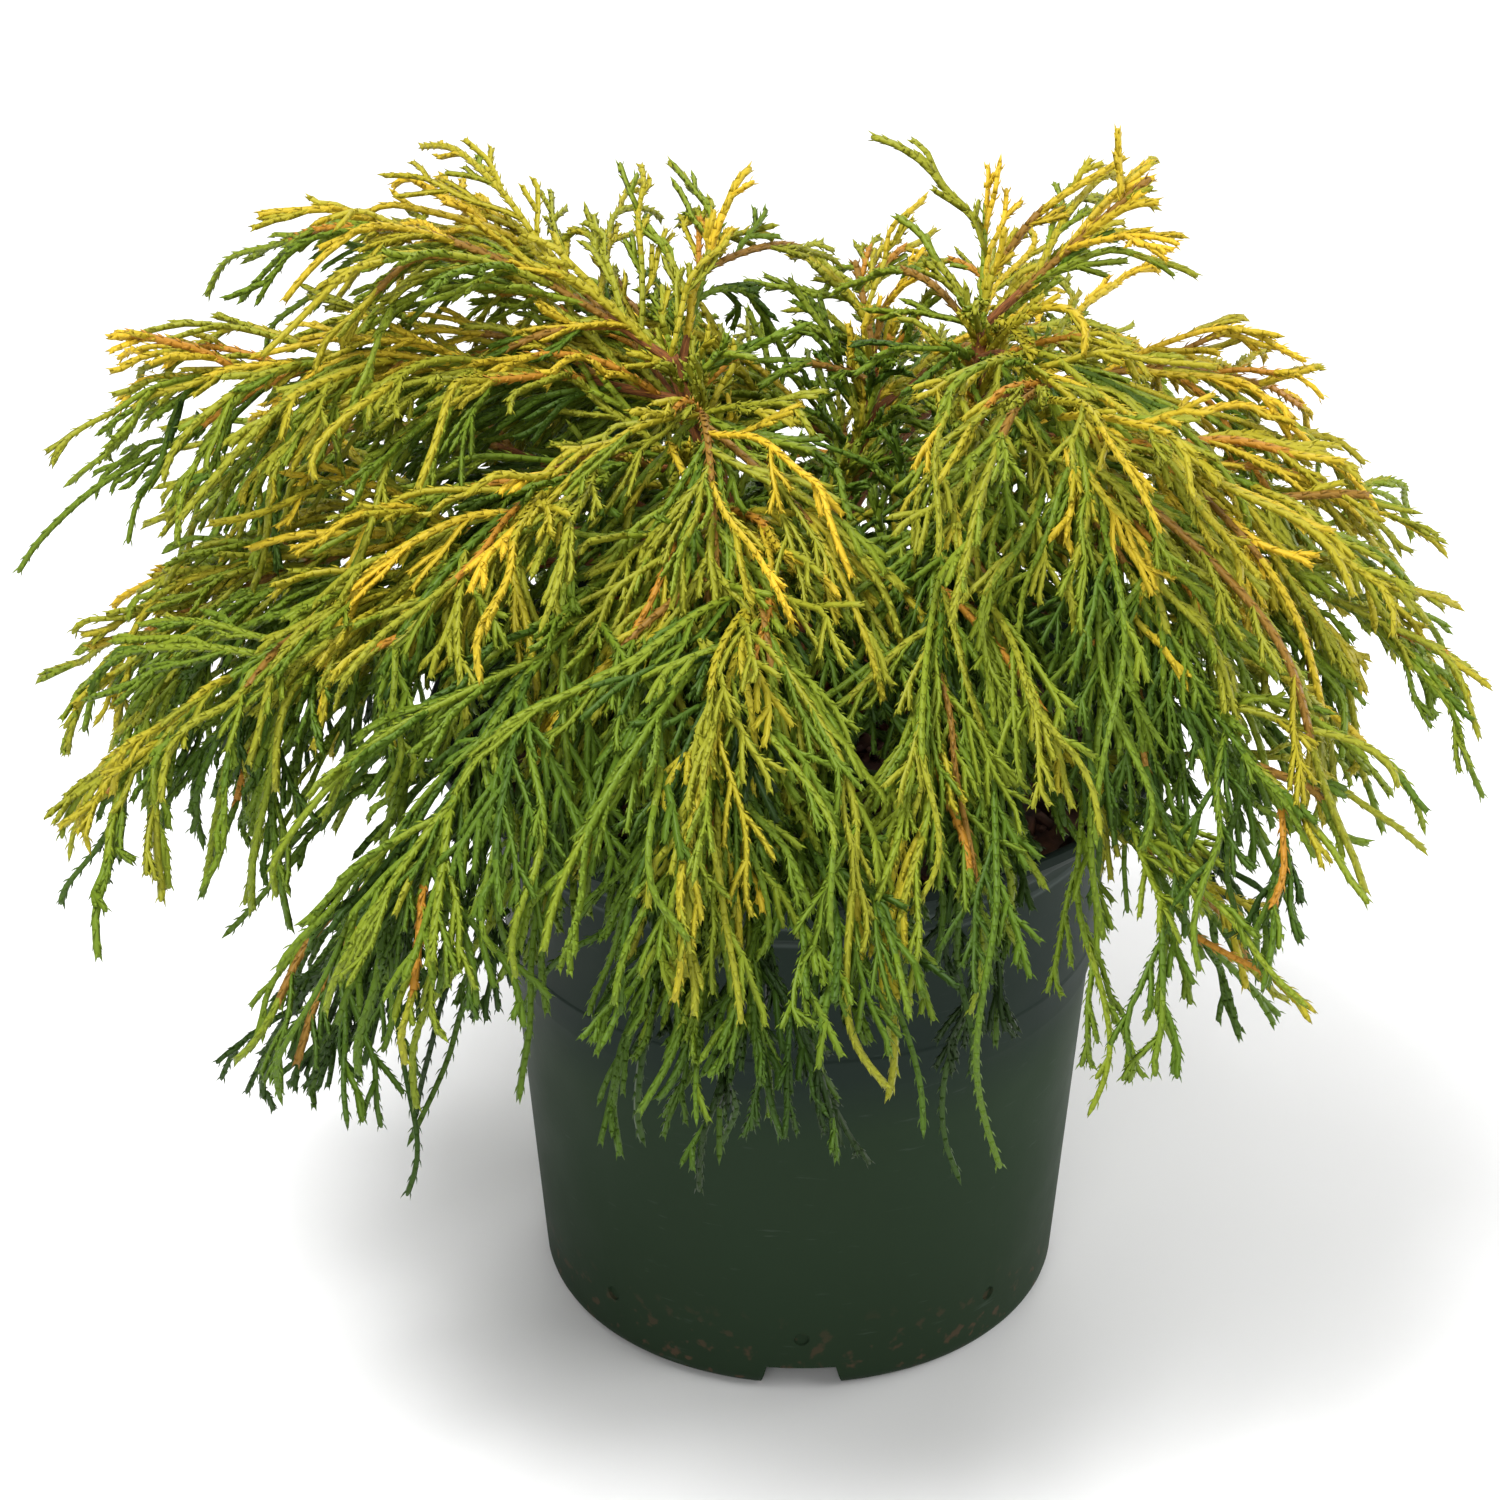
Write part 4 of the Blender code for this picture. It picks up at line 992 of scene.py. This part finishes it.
def thread_mesh(places, side, kind, girth):
    """Corners and faces of one thread along its places: its core, and its scale leaves."""
    _, sides, core_radius, leaf_radius, leaf_length, turn = kind
    count = len(places)
    ways = np.gradient(places, axis=0)
    ways /= np.linalg.norm(ways, axis=1, keepdims=True)
    across = side - ways * (ways @ side)[:, None]
    across /= np.linalg.norm(across, axis=1, keepdims=True)
    over = np.cross(ways, across)
    taper = girth * (1.0 - THREAD_TAPER * np.arange(count) / count)[:, None, None]
    angles = 2.0 * math.pi * (np.arange(sides) + 0.5) / sides
    spokes = across[:, None] * np.cos(angles)[None, :, None] + over[:, None] * np.sin(angles)[None, :, None]
    rings = sorted({*range(0, count, 2), count - 1})
    core = places[rings, None] + spokes[rings] * taper[rings] * core_radius
    tip = places[-1] + ways[-1] * 0.5 * leaf_length + spokes[-1:] * taper[-1:] * core_radius * BLUNT_TIP
    core = np.concatenate([core, tip]).reshape(-1, 3)
    core_faces = tube_faces(len(rings) + 1, sides)
    rolls = np.radians(turn) * (np.arange(count) % 2)[:, None]
    first = across * np.cos(rolls) + over * np.sin(rolls)
    out = np.stack([first, -first], axis=1)[:, :, None]
    beside = np.cross(ways[:, None, None], out)
    wide = taper[..., None] * leaf_radius
    leaves = places[:, None, None] + out * LEAF_CORNERS[:, 0:1] * wide + beside * LEAF_CORNERS[:, 1:2] * wide
    leaves = leaves + ways[:, None, None] * LEAF_CORNERS[:, 2:3] * leaf_length
    leaf_faces = LEAF_FACES + (len(core) + 4 * np.arange(2 * count))[:, None, None]
    return np.concatenate([core, leaves.reshape(-1, 3)]), np.concatenate([core_faces, leaf_faces.reshape(-1, 3)])


def add_threads(name, bundle, material):
    """One piece of joined threads, which stands for the masses."""
    corners, faces = [], []
    total = 0
    for thread_corners, thread_faces in bundle:
        corners.append(thread_corners)
        faces.append(thread_faces + total)
        total += len(thread_corners)
    piece = add_mesh(name, np.concatenate(corners), np.concatenate(faces), material)
    piece.data.shade_smooth()
    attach(piece, "root")
    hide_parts(*masses)


masses = [f"foliage_{name}" for name, _, _, _ in shoot_lines()]
for tint, color in TINTS.items():
    leaf, nodes, links, shader = new_material(f"leaf_{tint}", color, 0.5)
    shader.inputs["Specular IOR Level"].default_value = 0.20
    bundle = []
    triangles = 0
    part = 1
    for places, side, kind, girth in threads[tint]:
        corners, faces = thread_mesh(places, side, kind, girth)
        if triangles + len(faces) > MOST_TRIANGLES:
            add_threads(f"threads_{tint}_{part}", bundle, leaf)
            bundle, triangles, part = [], 0, part + 1
        bundle.append((corners, faces))
        triangles += len(faces)
    add_threads(f"threads_{tint}_{part}", bundle, leaf)

# Twigs: the bare inner ends of the shoots, in the same bark as the boughs that they go on from.
corners, faces, runs = [], [], []
total = 0
for index, (line, root, tip) in enumerate(twigs):
    tube_corners, tube_faces, run = bark_tube(line, (root, tip), index)
    corners.append(tube_corners)
    faces.append(tube_faces + total)
    runs.append(run)
    total += len(tube_corners)
piece = add_mesh("twig_bark", np.concatenate(corners), np.concatenate(faces), bark)
layer = piece.data.uv_layers.new(name="along")
order = np.empty(len(piece.data.loops), dtype=np.int32)
piece.data.loops.foreach_get("vertex_index", order)
layer.data.foreach_set("uv", np.concatenate(runs)[order].astype(np.float32).ravel())
piece.data.shade_smooth()
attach(piece, "root")
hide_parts(*masses)


# Studio: a plain pale floor, large soft lights over the front, and the camera where the
# photograph was taken from, a metre away and looking down at the plant.
bpy.ops.mesh.primitive_plane_add(size=8.0, location=(0.0, 0.0, -0.0002))
floor = bpy.context.object
floor.name = "floor"
paper, nodes, links, shader = new_material("pale_paper", (0.86, 0.86, 0.86), 0.9)
floor.data.materials.append(paper)


def add_area_light(name, location, target, size, power):
    bpy.ops.object.light_add(type="AREA", location=location)
    light = bpy.context.object
    light.name = name
    light.data.shape = "DISK"
    light.data.size = size
    light.data.energy = power
    light.rotation_euler = (Vector(target) - Vector(location)).to_track_quat("-Z", "Y").to_euler()


add_area_light("key", (-0.6, -0.5, 2.1), (0.0, 0.0, 0.15), 1.0, 55.0)
add_area_light("fill", (1.4, -0.7, 1.2), (0.0, 0.0, 0.15), 1.0, 11.0)
add_area_light("front", (-0.2, -1.9, 1.0), (0.0, 0.0, 0.12), 1.2, 13.0)
add_area_light("back", (0.3, 1.5, 1.4), (0.0, 0.0, 0.2), 1.4, 15.0)
add_area_light("edge", (0.9, 0.30, 0.22), (0.05, 0.0, 0.09), 0.5, 4.0)
world = bpy.data.worlds.new("studio")
world.use_nodes = True
world.node_tree.nodes["Background"].inputs["Color"].default_value = (1.0, 1.0, 1.0, 1.0)
world.node_tree.nodes["Background"].inputs["Strength"].default_value = 0.32
bpy.context.scene.world = world
bpy.context.scene.view_settings.view_transform = "Standard"

CAMERA_PLACE = (-0.01332, -1.01195, 0.71662)
CAMERA_PITCH = 29.1
bpy.ops.object.camera_add(location=CAMERA_PLACE, rotation=(math.radians(90.0 - CAMERA_PITCH), 0.0, 0.0))
camera = bpy.context.object
camera.data.lens = 108.0
camera.data.sensor_width = 36.0
bpy.context.scene.camera = camera
